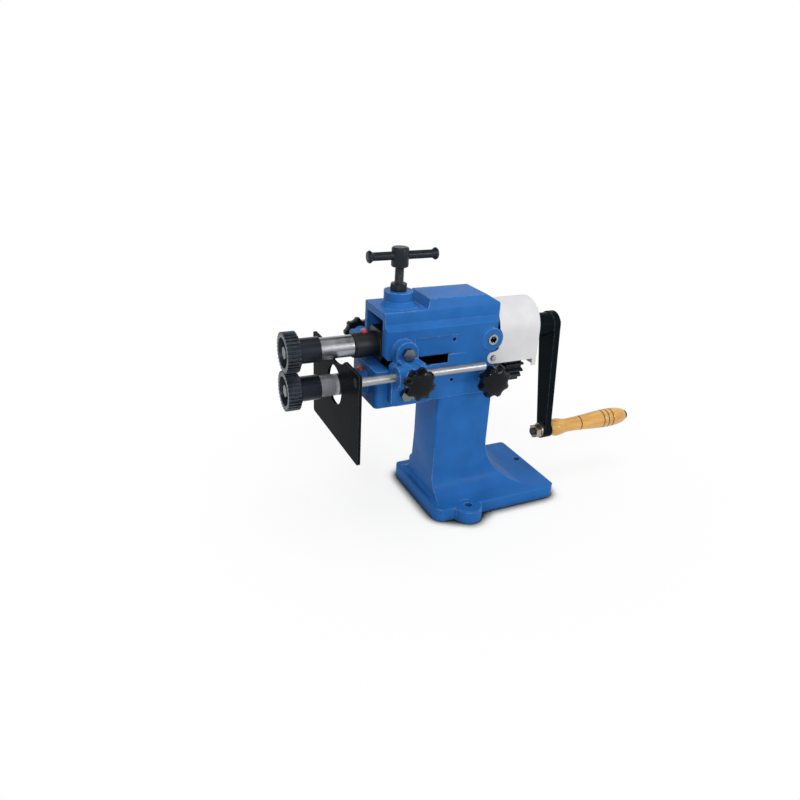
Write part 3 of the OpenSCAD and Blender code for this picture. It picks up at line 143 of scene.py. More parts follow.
class BeadRollerColours(bpy.types.PropertyGroup):
    """Colours of the finishes."""

    blue: colour("Blue enamel", "Enamel of the castings", (0.021, 0.138, 0.430))
    black: colour("Black enamel", "Enamel of the swing arm and crank", (0.0035, 0.0065, 0.009))
    plate: colour("Fence black", "Gloss black of the fence plate", (0.008, 0.010, 0.012))
    cover: colour("Cover grey", "Pale grey of the gear cover", (0.660, 0.660, 0.675))
    oxide: colour("Black oxide", "Blackened steel of gears and screws", (0.016, 0.020, 0.026))
    roll: colour("Roll black", "Blackened steel of the rolls", (0.026, 0.036, 0.050))
    hub: colour("Hub black", "Oiled black of the roll hubs", (0.016, 0.021, 0.030))
    roll_screw: colour("Roll screw", "Worn black of the roll screws", (0.100, 0.105, 0.110))
    stud: colour("Handle stud", "Worn black of the handle stud", (0.045, 0.044, 0.042))
    bare: colour("Bare steel", "Steel where the black has rubbed off", (0.300, 0.310, 0.325))
    steel: colour("Bright steel", "Ground steel of shafts and rods", (0.360, 0.375, 0.400))
    zinc: colour("Zinc", "Zinc plate of the hexagon bolts", (0.190, 0.192, 0.192))
    nickel: colour("Nickel", "Yellowish plate of the handle nut", (0.380, 0.345, 0.250))
    # Painted shade, put into the slot, the pocket, the pivot sockets and onto the lower shaft inside the
    # fence plate's hole
    shadowed: colour("Painted shade", "Painted shade inside the slot, the pocket, the pivot sockets and the lower shaft inside the fence plate's hole", (0.004, 0.005, 0.007))
    bronze: colour("Bronze", "Bearing bronze of the bushes", (0.480, 0.270, 0.100))
    wood: colour("Wood", "Light beech of the grip", (0.740, 0.400, 0.078))
    wood_dark: colour("Wood grain", "Darker grain lines of the grip", (0.480, 0.205, 0.030))
    burnt: colour("Burnt ring", "Burnt lines in the grooves of the grip", (0.052, 0.017, 0.004))
    plastic: colour("Black plastic", "Moulded plastic of the star knobs", (0.004, 0.005, 0.007))
    red: colour("Red plastic", "Oil caps", (0.400, 0.060, 0.038))
    floor: colour("Floor", "Pale studio floor", (0.900, 0.900, 0.900))


# Shader nodes

# Kinds of socket by how many numbers they hold
SOCKETS = {1: "NodeSocketFloat", 3: "NodeSocketVector", 4: "NodeSocketColor"}


def feed(tree, socket, value):
    """Links a socket from another one, or sets it to a value."""
    if isinstance(value, bpy.types.NodeSocket):
        tree.links.new(value, socket)
    else:
        socket.default_value = value


def node(tree, kind, inputs=(), **settings):
    """A shader node with its settings and its inputs."""
    made = tree.nodes.new(kind)
    for key, value in settings.items():
        setattr(made, key, value)
    for key, value in dict(inputs).items():
        feed(tree, made.inputs[key], value)
    return made


def shader_group(name, **sockets):
    """A new shader node group, the sockets that it is given, and the coordinates of the object."""
    tree = bpy.data.node_groups.new(name, "ShaderNodeTree")
    for label, value in sockets.items():
        kind = SOCKETS[len(value) if isinstance(value, tuple) else 1]
        made = tree.interface.new_socket(name=label.replace("_", " "), in_out="INPUT", socket_type=kind)
        made.default_value = value
    for label, size in (("Color", 4), ("Roughness", 1), ("Normal", 3)):
        tree.interface.new_socket(name=label, in_out="OUTPUT", socket_type=SOCKETS[size])
    coords = node(tree, "ShaderNodeTexCoord").outputs["Object"]
    return tree, tree.nodes.new("NodeGroupInput").outputs, coords


def give(tree, tone, rough, normal):
    """Links what a finish group gives, and hands the group back."""
    gives = tree.nodes.new("NodeGroupOutput").inputs
    for label, value in (("Color", tone), ("Roughness", rough), ("Normal", normal)):
        tree.links.new(value, gives[label])
    return tree


def noise(tree, coords, scale, detail=2.0, stretch=(1, 1, 1)):
    """Noise on object coordinates, stretched along some axes."""
    placed = node(tree, "ShaderNodeMapping", {"Vector": coords, "Scale": stretch}).outputs["Vector"]
    return node(
        tree, "ShaderNodeTexNoise", {"Vector": placed, "Scale": scale, "Detail": detail}
    ).outputs["Fac"]


def fit(tree, value, low, high, to_low, to_high):
    """A value carried from one range to another and held inside it."""
    return node(
        tree,
        "ShaderNodeMapRange",
        {"Value": value, "From Min": low, "From Max": high, "To Min": to_low, "To Max": to_high},
    ).outputs["Result"]


def vary(tree, value, to_low, to_high):
    """Noise carried to a range. Nearly all of it lies between 0.3 and 0.7."""
    return fit(tree, value, 0.3, 0.7, to_low, to_high)


def calc(tree, operation, value, *others):
    """One kind of sum on two values, and on its result and the next value."""
    for other in others:
        value = node(tree, "ShaderNodeMath", {0: value, 1: other}, operation=operation).outputs["Value"]
    return value


def apart(tree, value, place=0.0):
    """How far a value lies from a place, to either side."""
    return calc(tree, "ABSOLUTE", calc(tree, "SUBTRACT", value, place), 0.0)


def blend_colour(tree, share, first, second, kind="MIX"):
    """Two colours mixed by a share."""
    inputs = {0: share, 6: first, 7: second}
    return node(tree, "ShaderNodeMix", inputs, data_type="RGBA", blend_type=kind).outputs[2]


def shaded(tree, tone, shade):
    """A colour made darker or lighter."""
    return blend_colour(tree, 1.0, tone, shade, "MULTIPLY")


def soft_edges(tree, radius):
    """Rounded normals along the edges, and how near a point lies to an edge."""
    rounded = node(tree, "ShaderNodeBevel", {"Radius": radius}, samples=6).outputs["Normal"]
    plain = node(tree, "ShaderNodeNewGeometry").outputs["Normal"]
    alike = node(tree, "ShaderNodeVectorMath", {0: rounded, 1: plain}, operation="DOT_PRODUCT")
    return rounded, fit(tree, alike.outputs["Value"], 0.985, 0.80, 0.0, 1.0)


def raised(tree, height, strength, distance, normal):
    """Surface normals bent by a height."""
    return node(
        tree,
        "ShaderNodeBump",
        {"Height": height, "Strength": strength, "Distance": distance, "Normal": normal},
    ).outputs["Normal"]


def enamel_group():
    """Brushed and sprayed enamel over rough castings, paler along the edges: partly chips of wear, partly a
    painted highlight on the rounded edges.
    """
    tree, given, coords = shader_group(
        "Enamel over casting", Paint=(0.03, 0.13, 0.4, 1),
        Edge_radius=0.002, Gloss=0.34, Roughcast=1.0, Wear=0.75,
    )
    waves = noise(tree, coords, 34.0)
    grain = noise(tree, coords, 420.0, detail=3.0)
    chips = noise(tree, coords, 210.0, detail=4.0)
    rounded, edge = soft_edges(tree, given["Edge radius"])
    tone = shaded(tree, given["Paint"], vary(tree, waves, 0.86, 1.06))
    pale = blend_colour(tree, 0.5, given["Paint"], PALE_EDGE_WEAR_AND_HIGHLIGHT)
    worn = calc(tree, "MULTIPLY", edge, fit(tree, chips, 0.42, 0.62, 0.35, 1.0), given["Wear"])
    uneven = fit(tree, grain, 0.35, 0.65, -0.03, 0.03)
    rough = calc(tree, "ADD", given["Gloss"], vary(tree, waves, -0.06, 0.07), uneven)
    height = calc(tree, "ADD", calc(tree, "MULTIPLY", waves, 5.0), calc(tree, "MULTIPLY", grain, 0.45))
    depth = calc(tree, "MULTIPLY", given["Roughcast"], 0.00012)
    # Paler edges: partly chipped wear, partly a painted highlight where light catches the rounded edges
    tone = blend_colour(tree, worn, tone, pale)
    return give(tree, tone, rough, raised(tree, height, 0.6, depth, rounded))


def oxide_group():
    """Blackened steel, rubbed bright on its edges and smeared with oil."""
    tree, given, coords = shader_group(
        "Black oxide on steel", Black=(0.03, 0.035, 0.04, 1), Bare=(0.3, 0.31, 0.32, 1),
        Edge_radius=0.0005, Wear=0.6, Gloss=0.36,
    )
    smears = noise(tree, coords, 70.0, detail=3.0)
    grit = noise(tree, coords, 900.0)
    rounded, edge = soft_edges(tree, given["Edge radius"])
    worn = calc(tree, "MULTIPLY", edge, given["Wear"], fit(tree, smears, 0.35, 0.6, 0.3, 1.0))
    tone = shaded(tree, given["Black"], vary(tree, smears, 0.75, 1.3))
    tone = blend_colour(tree, worn, tone, given["Bare"])
    rough = calc(tree, "ADD", given["Gloss"], vary(tree, smears, -0.09, 0.1))
    return give(tree, tone, rough, raised(tree, grit, 0.35, 0.00005, rounded))


def steel_group():
    """Ground or turned steel, with fine lines round its axis."""
    tree, given, coords = shader_group(
        "Ground steel", Steel=(0.6, 0.61, 0.63, 1), Line_spacing=(2600.0, 12.0, 12.0),
        Edge_radius=0.0005, Gloss=0.24,
    )
    spacing = {0: coords, 1: given["Line spacing"]}
    spaced = node(tree, "ShaderNodeVectorMath", spacing, operation="MULTIPLY").outputs["Vector"]
    lines = noise(tree, spaced, 1.0, detail=3.0)
    smears = noise(tree, coords, 60.0, detail=3.0)
    rounded = soft_edges(tree, given["Edge radius"])[0]
    shade = calc(tree, "MULTIPLY", vary(tree, lines, 0.93, 1.04), vary(tree, smears, 0.93, 1.04))
    uneven = vary(tree, smears, -0.04, 0.05)
    rough = calc(tree, "ADD", given["Gloss"], vary(tree, lines, -0.04, 0.05), uneven)
    tone = shaded(tree, given["Steel"], shade)
    return give(tree, tone, rough, raised(tree, lines, 0.08, 0.00002, rounded))


def sheet_group():
    """Pale stove paint on sheet metal, with a fine orange peel, faint soiling and a painted highlight along
    its edges.
    """
    tree, given, coords = shader_group("Painted sheet", Paint=(0.66, 0.66, 0.675, 1), Edge_radius=0.0009)
    cloud = noise(tree, coords, 40.0, detail=3.0)
    peel = noise(tree, coords, 480.0, detail=1.0)
    speck = noise(tree, coords, 1300.0)
    rounded, edge = soft_edges(tree, given["Edge radius"])
    shade = calc(tree, "MULTIPLY", vary(tree, cloud, 0.93, 1.03), vary(tree, speck, 0.96, 1.03))
    tone = shaded(tree, given["Paint"], shade)
    # Paler along the rounded edges: a painted highlight
    tone = blend_colour(tree, calc(tree, "MULTIPLY", edge, 0.35), tone, SHEET_EDGE_HIGHLIGHT)
    return give(tree, tone, vary(tree, cloud, 0.38, 0.52), raised(tree, peel, 0.35, 0.00008, rounded))


def plastic_group():
    """Moulded plastic with a fine stipple, and a painted highlight along its edges."""
    tree, given, coords = shader_group(
        "Moulded plastic", Plastic=(0.01, 0.012, 0.015, 1), Edge_radius=0.0008, Gloss=0.3
    )
    stipple = noise(tree, coords, 1100.0)
    hands = noise(tree, coords, 90.0, detail=3.0)
    rounded, edge = soft_edges(tree, given["Edge radius"])
    # Colour up to half again lighter along the edges: a painted highlight
    shade = calc(tree, "ADD", vary(tree, hands, 0.8, 1.2), calc(tree, "MULTIPLY", edge, 0.5))
    rough = calc(tree, "ADD", given["Gloss"], vary(tree, hands, -0.06, 0.1))
    tone = shaded(tree, given["Plastic"], shade)
    return give(tree, tone, rough, raised(tree, stipple, 0.25, 0.00005, rounded))


def group(name, make):
    """A finish group, made once."""
    return bpy.data.node_groups.get(name) or make()


def between(low, high, soft=0.0003):
    """A mask of the points between two corners, alike on the front and the back of the machine."""

    def mask(tree):
        coords = node(tree, "ShaderNodeTexCoord").outputs["Object"]
        parts = node(tree, "ShaderNodeSeparateXYZ", {"Vector": coords}).outputs
        share = 1.0
        for label, start, end in zip("XYZ", low, high):
            place = apart(tree, parts[label]) if label == "Y" else parts[label]
            after = fit(tree, place, start - soft, start, 0.0, 1.0)
            before = fit(tree, place, end, end + soft, 1.0, 0.0)
            share = calc(tree, "MULTIPLY", share, after, before)
        return share

    return mask


def set_inputs(made, values):
    """Sets the inputs of a node to values."""
    for label, value in values.items():
        made.inputs[label.replace("_", " ")].default_value = value


def fresh_material(name, **constants):
    """A new material, its node tree and its shader with some constants."""
    made = bpy.data.materials.new(name)
    made.use_nodes = True
    shader = made.node_tree.nodes["Principled BSDF"]
    set_inputs(shader, constants)
    return made, made.node_tree, shader


def finish_material(
    name, finish_group, metallic=0.0, coat=0.0, specular=0.5, patches=(), dark=None, **values
):
    """A material from a finish group, dark in its patches, with constants set on the shader itself."""
    made, tree, shader = fresh_material(
        name, Metallic=metallic, Specular_IOR_Level=specular, Coat_Weight=coat, Coat_Roughness=0.1
    )
    finish = tree.nodes.new("ShaderNodeGroup")
    finish.node_tree = finish_group
    set_inputs(finish, values)
    tone = finish.outputs["Color"]
    for patch in patches:
        tone = blend_colour(tree, patch(tree), tone, dark)
    tree.links.new(tone, shader.inputs["Base Color"])
    for socket in ("Roughness", "Normal"):
        tree.links.new(finish.outputs[socket], shader.inputs[socket])
    made.diffuse_color = next(iter(values.values()))
    return made


def wood_material(colours):
    """Varnished beech with grain along the grip and burnt lines in its grooves."""
    low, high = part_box("handle_grip")
    made, tree, shader = fresh_material("Varnished beech", Coat_Weight=0.45, Coat_Roughness=0.12)
    made.diffuse_color = colours.wood
    coords = node(tree, "ShaderNodeTexCoord").outputs["Object"]
    pores = noise(tree, coords, 900.0, detail=3.0, stretch=(0.05, 1, 1))
    drift = noise(tree, coords, 55.0, stretch=(0.25, 1, 1))
    figure = noise(tree, coords, 190.0, detail=4.0, stretch=(0.06, 1, 1))
    grain = calc(tree, "ADD", calc(tree, "MULTIPLY", figure, 0.75), calc(tree, "MULTIPLY", drift, 0.35))
    tone = blend_colour(tree, fit(tree, grain, 0.42, 0.72, 0.0, 0.75), colours.wood, colours.wood_dark)
    tone = shaded(tree, tone, fit(tree, pores, 0.3, 0.62, 0.84, 1.04))
    along = node(tree, "ShaderNodeSeparateXYZ", {"Vector": coords}).outputs["X"]
    grooves = [low.x + share * (high.x - low.x) for share in GRIP_GROOVES]
    lines = [fit(tree, apart(tree, along, groove), 0.0004, 0.0012, 1.0, 0.0) for groove in grooves]
    ends = [fit(tree, apart(tree, along, end), 0.0005, 0.004, 0.35, 0.0) for end in (low.x, high.x)]
    burnt = calc(tree, "MAXIMUM", *lines, *ends)
    tree.links.new(blend_colour(tree, burnt, tone, colours.burnt), shader.inputs["Base Color"])
    tree.links.new(vary(tree, pores, 0.46, 0.34), shader.inputs["Roughness"])
    plain = node(tree, "ShaderNodeNewGeometry").outputs["Normal"]
    tree.links.new(raised(tree, pores, 0.25, 0.00006, plain), shader.inputs["Normal"])
    return made


# Modelling

def deselect():
    """Leaves no object selected."""
    bpy.ops.object.select_all(action="DESELECT")


def select_only(piece, *others):
    """Selects just these objects and makes the first one active."""
    deselect()
    for chosen in (*others, piece):
        chosen.select_set(True)
    bpy.context.view_layer.objects.active = piece


def select_points(mesh, members):
    """Selects just these points, and the edges and faces between them."""
    bpy.ops.mesh.select_all(action="DESELECT")
    edit = bmesh.from_edit_mesh(mesh)
    edit.verts.ensure_lookup_table()
    for index in members:
        edit.verts[index].select = True
    edit.select_flush(True)
    bmesh.update_edit_mesh(mesh)


def shape_ring(mesh, height, radius):
    """Sets the selected ring to its radius, which may change round the ring."""
    edit = bmesh.from_edit_mesh(mesh)
    edit.verts.ensure_lookup_table()
    ring = [v.index for v in edit.verts if v.select]
    groups = {}
    for index in ring:
        place = edit.verts[index].co
        wanted = radius(math.atan2(place.y, place.x)) if callable(radius) else radius
        groups.setdefault(round(wanted / place.xy.length, 5), []).append(index)
    for factor, members in groups.items():
        select_points(mesh, members)
        bpy.ops.transform.resize(value=(factor, factor, 1), center_override=(0, 0, height))
    select_points(mesh, ring)


def turned(name, rings, count, bored=False):
    """A piece built ring by ring along Z. A ring is its height and its radius, or a radius for each angle."""
    deselect()
    height, radius = rings[0]
    bpy.ops.mesh.primitive_circle_add(
        vertices=count, radius=0.01, fill_type="NOTHING" if bored else "NGON", location=(0, 0, height)
    )
    piece = bpy.context.object
    piece.name = piece.data.name = name
    bpy.ops.object.transform_apply()
    bpy.ops.object.mode_set(mode="EDIT")
    bpy.ops.mesh.select_mode(type="VERT")
    bpy.ops.mesh.select_all(action="SELECT")
    shape_ring(piece.data, height, radius)
    for place, radius in rings[1:]:
        bpy.ops.mesh.extrude_region_move(TRANSFORM_OT_translate={"value": (0, 0, place - height)})
        height = place
        shape_ring(piece.data, height, radius)
    if bored:
        total = len(bmesh.from_edit_mesh(piece.data).verts)
        select_points(piece.data, [*range(count), *range(total - count, total)])
        bpy.ops.mesh.bridge_edge_loops()
    face_outwards()
    bpy.ops.object.mode_set(mode="OBJECT")
    return piece


def face_outwards():
    """Turns all faces of the mesh that is being edited to the outside."""
    bpy.ops.mesh.select_all(action="SELECT")
    bpy.ops.mesh.normals_make_consistent(inside=False)


def settle(piece, place, turn=(0, 0, 0)):
    """Carries a piece to its place, with the place kept in its mesh."""
    select_only(piece)
    piece.rotation_euler = turn
    piece.location = place
    bpy.ops.object.transform_apply()


def smooth(piece, degrees=35):
    """Smooth shading up to an angle."""
    select_only(piece)
    bpy.ops.object.shade_smooth_by_angle(angle=math.radians(degrees))


def apply_modifier(piece, kind, **settings):
    """Adds a modifier to a piece and applies it."""
    select_only(piece)
    made = piece.modifiers.new(kind.title(), kind)
    for key, value in settings.items():
        setattr(made, key, value)
    bpy.ops.object.modifier_apply(modifier=made.name)


def copy_of(piece):
    """A copy of an object with a mesh of its own."""
    select_only(piece)
    bpy.ops.object.duplicate(linked=False)
    return bpy.context.object


def finish_piece(piece, material, body, slot, *nodes):
    """Gives a modelled piece its finish and its body, and hides the CAD nodes that it stands for."""
    piece.data.materials.clear()
    piece.data.materials.append(material)
    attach(piece, body)
    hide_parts(*nodes)


def dress(material, *nodes):
    """Gives CAD nodes their finish."""
    for name in nodes:
        mesh = frame["nodes"][name].data
        mesh.materials.clear()
        mesh.materials.append(material)


# Operators

class RollerOperator:
    """What all the operators share: the settings and the kinds of finish."""

    bl_options = {"REGISTER", "UNDO"}

    @property
    def sizes(self):
        return bpy.context.scene.bead_roller_sizes

    @property
    def colours(self):
        return bpy.context.scene.bead_roller_colours

    def enamel(self, name, paint, radius, **changes):
        """Enamel for one kind of piece."""
        values = {"Paint": paint, "Edge_radius": radius, "specular": 0.06, **changes}
        return finish_material(name, group("Enamel over casting", enamel_group), **values)

    def oxide(self, name, **changes):
        """Black oxide steel for one kind of piece."""
        values = {"Black": self.colours.oxide, "Bare": self.colours.bare, "metallic": 0.4, "specular": 0.2}
        values = {**values, "Edge_radius": self.sizes.machined_edge, **changes}
        return finish_material(name, group("Black oxide on steel", oxide_group), **values)

    def bright(self, name, lines, **changes):
        """Bright steel with lines across the given axis."""
        values = {"Steel": self.colours.steel, "Line_spacing": lines, "metallic": 1.0}
        values = {**values, "Edge_radius": self.sizes.machined_edge, **changes}
        return finish_material(name, group("Ground steel", steel_group), **values)

    def plastic(self, name, tone, radius, **changes):
        """Moulded plastic for one kind of piece."""
        values = {"Plastic": tone, "Edge_radius": radius, **changes}
        return finish_material(name, group("Moulded plastic", plastic_group), **values)


class BEADROLLER_OT_castings(RollerOperator, bpy.types.Operator):
    """Blue enamel on the frame casting and the guide brackets"""

    bl_idname = "beadroller.castings"
    bl_label = "Paint castings"

    def execute(self, context):
        # Painted shade: the enamel is darkened inside the slot and the pocket
        body = self.enamel(
            "Casting enamel", self.colours.blue, self.sizes.casting_edge, dark=self.colours.shadowed,
            patches=(between(*SLOT_SHADE, soft=0.0012), between(*POCKET_SHADE, soft=0.0006)),
        )
        dress(body, "frame_casting")
        finish_piece(self.ease_corners(), body, "frame", "blue_paint", "frame_casting")
        # Full Wear makes the brackets' pale edges stronger; they are partly wear, partly a painted highlight
        brackets = self.enamel("Bracket enamel", self.colours.blue, self.sizes.casting_edge, Wear=1.0)
        dress(brackets, "guide_bracket_front", "guide_bracket_rear")
        return {"FINISHED"}

    def ease_corners(self):
        """A copy of the casting whose square foot corners run out into the column's round ones."""
        casting = copy_of(frame["nodes"]["frame_casting"])
        casting.name = casting.data.name = "eased_frame_casting"
        bpy.ops.object.mode_set(mode="EDIT")
        bpy.ops.mesh.select_all(action="SELECT")
        bpy.ops.mesh.remove_doubles(threshold=0.000001)
        edit = bmesh.from_edit_mesh(casting.data)
        top, bottom = self.sizes.foot_top, self.sizes.sweep_top
        ledge = [v.co for v in edit.verts if abs(v.co.z - top) < NEAR]
        left, right = min(p.x for p in ledge), max(p.x for p in ledge)
        front = max(p.y for p in ledge)
        corners = {}
        for point in edit.verts:
            x, y, z = point.co
            at_side = x < left + NEAR or x > right - NEAR
            if bottom < z < top + NEAR and abs(abs(y) - front) < NEAR and at_side:
                corners[point.index] = (x < left + NEAR, y < 0, (z - bottom) / (top - bottom))
        for index, (at_left, at_front, share) in corners.items():
            inwards = self.sizes.corner_ease * share
            select_points(casting.data, [index])
            bpy.ops.transform.translate(
                value=(inwards if at_left else -inwards, inwards if at_front else -inwards, 0)
            )
        bpy.ops.mesh.select_all(action="SELECT")
        bpy.ops.mesh.dissolve_degenerate(threshold=0.00001)
        bpy.ops.object.mode_set(mode="OBJECT")
        bpy.ops.mesh.customdata_custom_splitnormals_clear()
        smooth(casting, degrees=28)
        return casting


class BEADROLLER_OT_swing_arm(RollerOperator, bpy.types.Operator):
    """Black enamel on the swing arm that carries the upper shaft"""

    bl_idname = "beadroller.swing_arm"
    bl_label = "Paint swing arm"

    def execute(self, context):
        black = self.enamel(
            "Black arm enamel", self.colours.black, self.sizes.black_edge, specular=0.4, Gloss=0.42, Wear=0.2
        )
        dress(black, "swing_arm")
        return {"FINISHED"}


class BEADROLLER_OT_fence(RollerOperator, bpy.types.Operator):
    """Gloss black fence plate on its ground guide rods"""

    bl_idname = "beadroller.fence"
    bl_label = "Finish fence"

    def execute(self, context):
        plate = self.enamel(
            "Fence plate black", self.colours.plate, self.sizes.machined_edge,
            specular=0.005, Gloss=0.26, Roughcast=0.35, Wear=0.6,
        )
        dress(plate, "fence_plate")
        dress(self.bright("Guide rod steel", ROD_LINES, Gloss=0.4), "guide_rod_front", "guide_rod_rear")
        dress(self.oxide("Fence screw black", Wear=0.25), "fence_screws")
        return {"FINISHED"}


class BEADROLLER_OT_shafts(RollerOperator, bpy.types.Operator):
    """Ground shafts, bushes and the sliding sleeve"""

    bl_idname = "beadroller.shafts"
    bl_label = "Finish shafts and bushes"

    def execute(self, context):
        shafts = self.bright("Ground shaft steel", SHAFT_LINES, Gloss=0.3)
        dress(shafts, "upper_shaft", "shaft_spacer", "lower_rear_sleeve")
        # Painted shade: the lower shaft is darkened where it runs into the fence plate's hole and on into the
        # head
        shaft_with_shade = self.bright(
            "Lower shaft steel", SHAFT_LINES, metallic=0.5, Gloss=0.3,
            patches=(between(*LOWER_SHAFT_SHADE),), dark=self.colours.shadowed,
        )
        dress(shaft_with_shade, "lower_shaft")
        bronze = self.bright("Bearing bronze", BUSH_LINES, Steel=self.colours.bronze, Gloss=0.32)
        dress(bronze, "arm_rear_bush", "lower_rear_bush")
        dress(self.oxide("Sintered bush", Wear=0.3), "arm_front_bush", "lower_front_bush")
        return {"FINISHED"}


class BEADROLLER_OT_rolls(RollerOperator, bpy.types.Operator):
    """Blackened rolls with teeth that have rubbed bright"""

    bl_idname = "beadroller.rolls"
    bl_label = "Finish rolls"

    def execute(self, context):
        rolls = self.oxide(
            "Roll black", Black=self.colours.roll, Wear=0.75, Gloss=0.3,
            patches=(between(*ROLL_HUBS, soft=0.0006),), dark=self.colours.hub,
        )
        dress(rolls, "upper_roll", "lower_roll")
        screws = self.oxide("Roll screw steel", Black=self.colours.roll_screw, Wear=0.9, Gloss=0.24)
        for part in ("screw", "washer", "key"):
            dress(screws, f"upper_roll_{part}", f"lower_roll_{part}")
        return {"FINISHED"}


class BEADROLLER_OT_gears(RollerOperator, bpy.types.Operator):
    """Dark gears, greased, with their keys and ring"""

    bl_idname = "beadroller.gears"
    bl_label = "Finish gears"

    def execute(self, context):
        gears = self.oxide("Gear black", Wear=0.35, Gloss=0.4)
        dress(gears, "upper_gear", "lower_gear", "upper_gear_key", "lower_gear_key", "lower_gear_ring")
        return {"FINISHED"}


class BEADROLLER_OT_gear_cover(RollerOperator, bpy.types.Operator):
    """Pale painted sheet hood over the gears"""

    bl_idname = "beadroller.gear_cover"
    bl_label = "Paint gear cover"

    def execute(self, context):
        sheet = finish_material(
            "Pale sheet paint", group("Painted sheet", sheet_group),
            specular=0.2, Paint=self.colours.cover, Edge_radius=self.sizes.sheet_edge,
        )
        dress(sheet, "gear_cover")
        return {"FINISHED"}


class BEADROLLER_OT_crank(RollerOperator, bpy.types.Operator):
    """Black crank, its fixings and the turned and varnished grip"""

    bl_idname = "beadroller.crank"
    bl_label = "Finish crank and grip"

    # Rings along the grip, closer together where its end gets round
    rings_along = 40
    rings_at_end = 200
    end_starts = 0.93

    def execute(self, context):
        black = self.enamel(
            "Crank black", self.colours.black, self.sizes.black_edge, specular=0.02, Gloss=0.26, Wear=0.3
        )
        dress(black, "crank_arm")
        wood = wood_material(self.colours)
        dress(wood, "handle_grip")
        finish_piece(self.grip(), wood, "grip", "wood", "handle_grip")
        dress(self.oxide("Crank bolt black", Wear=0.6), "crank_bolt", "crank_washer", "crank_key")
        dress(self.oxide("Stud steel", Black=self.colours.stud, Wear=0.4, Gloss=0.3), "handle_stud")
        plated = self.bright("Plated nut", PLATED, Steel=self.colours.nickel, Gloss=0.3)
        dress(plated, "handle_nut", "handle_washer")
        return {"FINISHED"}

    def grip_radius(self, share):
        """Radius of the grip at a share of its length: waves between the turned sizes, and a round end."""
        for (start, low), (end, high) in zip(GRIP_SHAPE, GRIP_SHAPE[1:]):
            if share <= end:
                part = (share - start) / (end - start)
                if end < 1:
                    return low + (high - low) * (1 - math.cos(math.pi * part)) / 2
                return low + (high - low) * (1 - math.sqrt(max(0.0, 1 - part**2)))

    def grip(self):
        """The wooden grip, turned with its lines and bored for the stud."""
        low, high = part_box("handle_grip")
        reach = high.x - low.x
        line = self.sizes.groove_width / reach
        coarse = [step / self.rings_along for step in range(self.rings_along + 1)]
        fine = [step / self.rings_at_end for step in range(self.rings_at_end + 1)]
        cuts = {share: 0.0 for share in coarse if share < self.end_starts}
        cuts.update({share: 0.0 for share in fine if share >= self.end_starts})
        for groove in GRIP_GROOVES:
            cuts = {share: cut for share, cut in cuts.items() if abs(share - groove) > 2 * line}
            cuts.update({groove - line: 0.0, groove: self.sizes.groove_depth, groove + line: 0.0})
        rings = [(reach * share, self.grip_radius(share) - cut) for share, cut in sorted(cuts.items())]
        bore = self.sizes.grip_bore
        grip = turned("turned_grip", [*rings, (reach, bore), (0.0, bore)], count=64, bored=True)
        settle(grip, (low.x, (low.y + high.y) / 2, (low.z + high.z) / 2), (0, QUARTER_TURN, 0))
        smooth(grip)
        return grip


class BEADROLLER_OT_fasteners(RollerOperator, bpy.types.Operator):
    """Bolts, screws, oil caps and the small parts under the pressure screw"""

    bl_idname = "beadroller.fasteners"
    bl_label = "Finish fasteners"

    def execute(self, context):
        dark = self.oxide("Bolt black", Wear=0.8, Gloss=0.34)
        dress(dark, "tommy_bar_ends", "swivel_pad", "pressure_button", "lift_spring")
        zinc = self.bright("Zinc plated bolt", PLATED, Steel=self.colours.zinc, Gloss=0.3)
        dress(zinc, "bracket_bolts")
        dress(self.bright("Plated screw", PLATED, Gloss=0.27), "cover_screws")
        # Painted shade inside the hex sockets of the pivot screws
        pivot = self.bright(
            "Pivot screw steel", PLATED, Gloss=0.27,
            patches=(between(*PIVOT_SOCKET_SHADE),), dark=self.colours.shadowed,
        )
        dress(pivot, "pivot_screws")
        red = self.plastic("Red plastic", self.colours.red, self.sizes.machined_edge, coat=0.2, Gloss=0.28)
        dress(red, "upper_oil_cap", "lower_oil_cap")
        return {"FINISHED"}


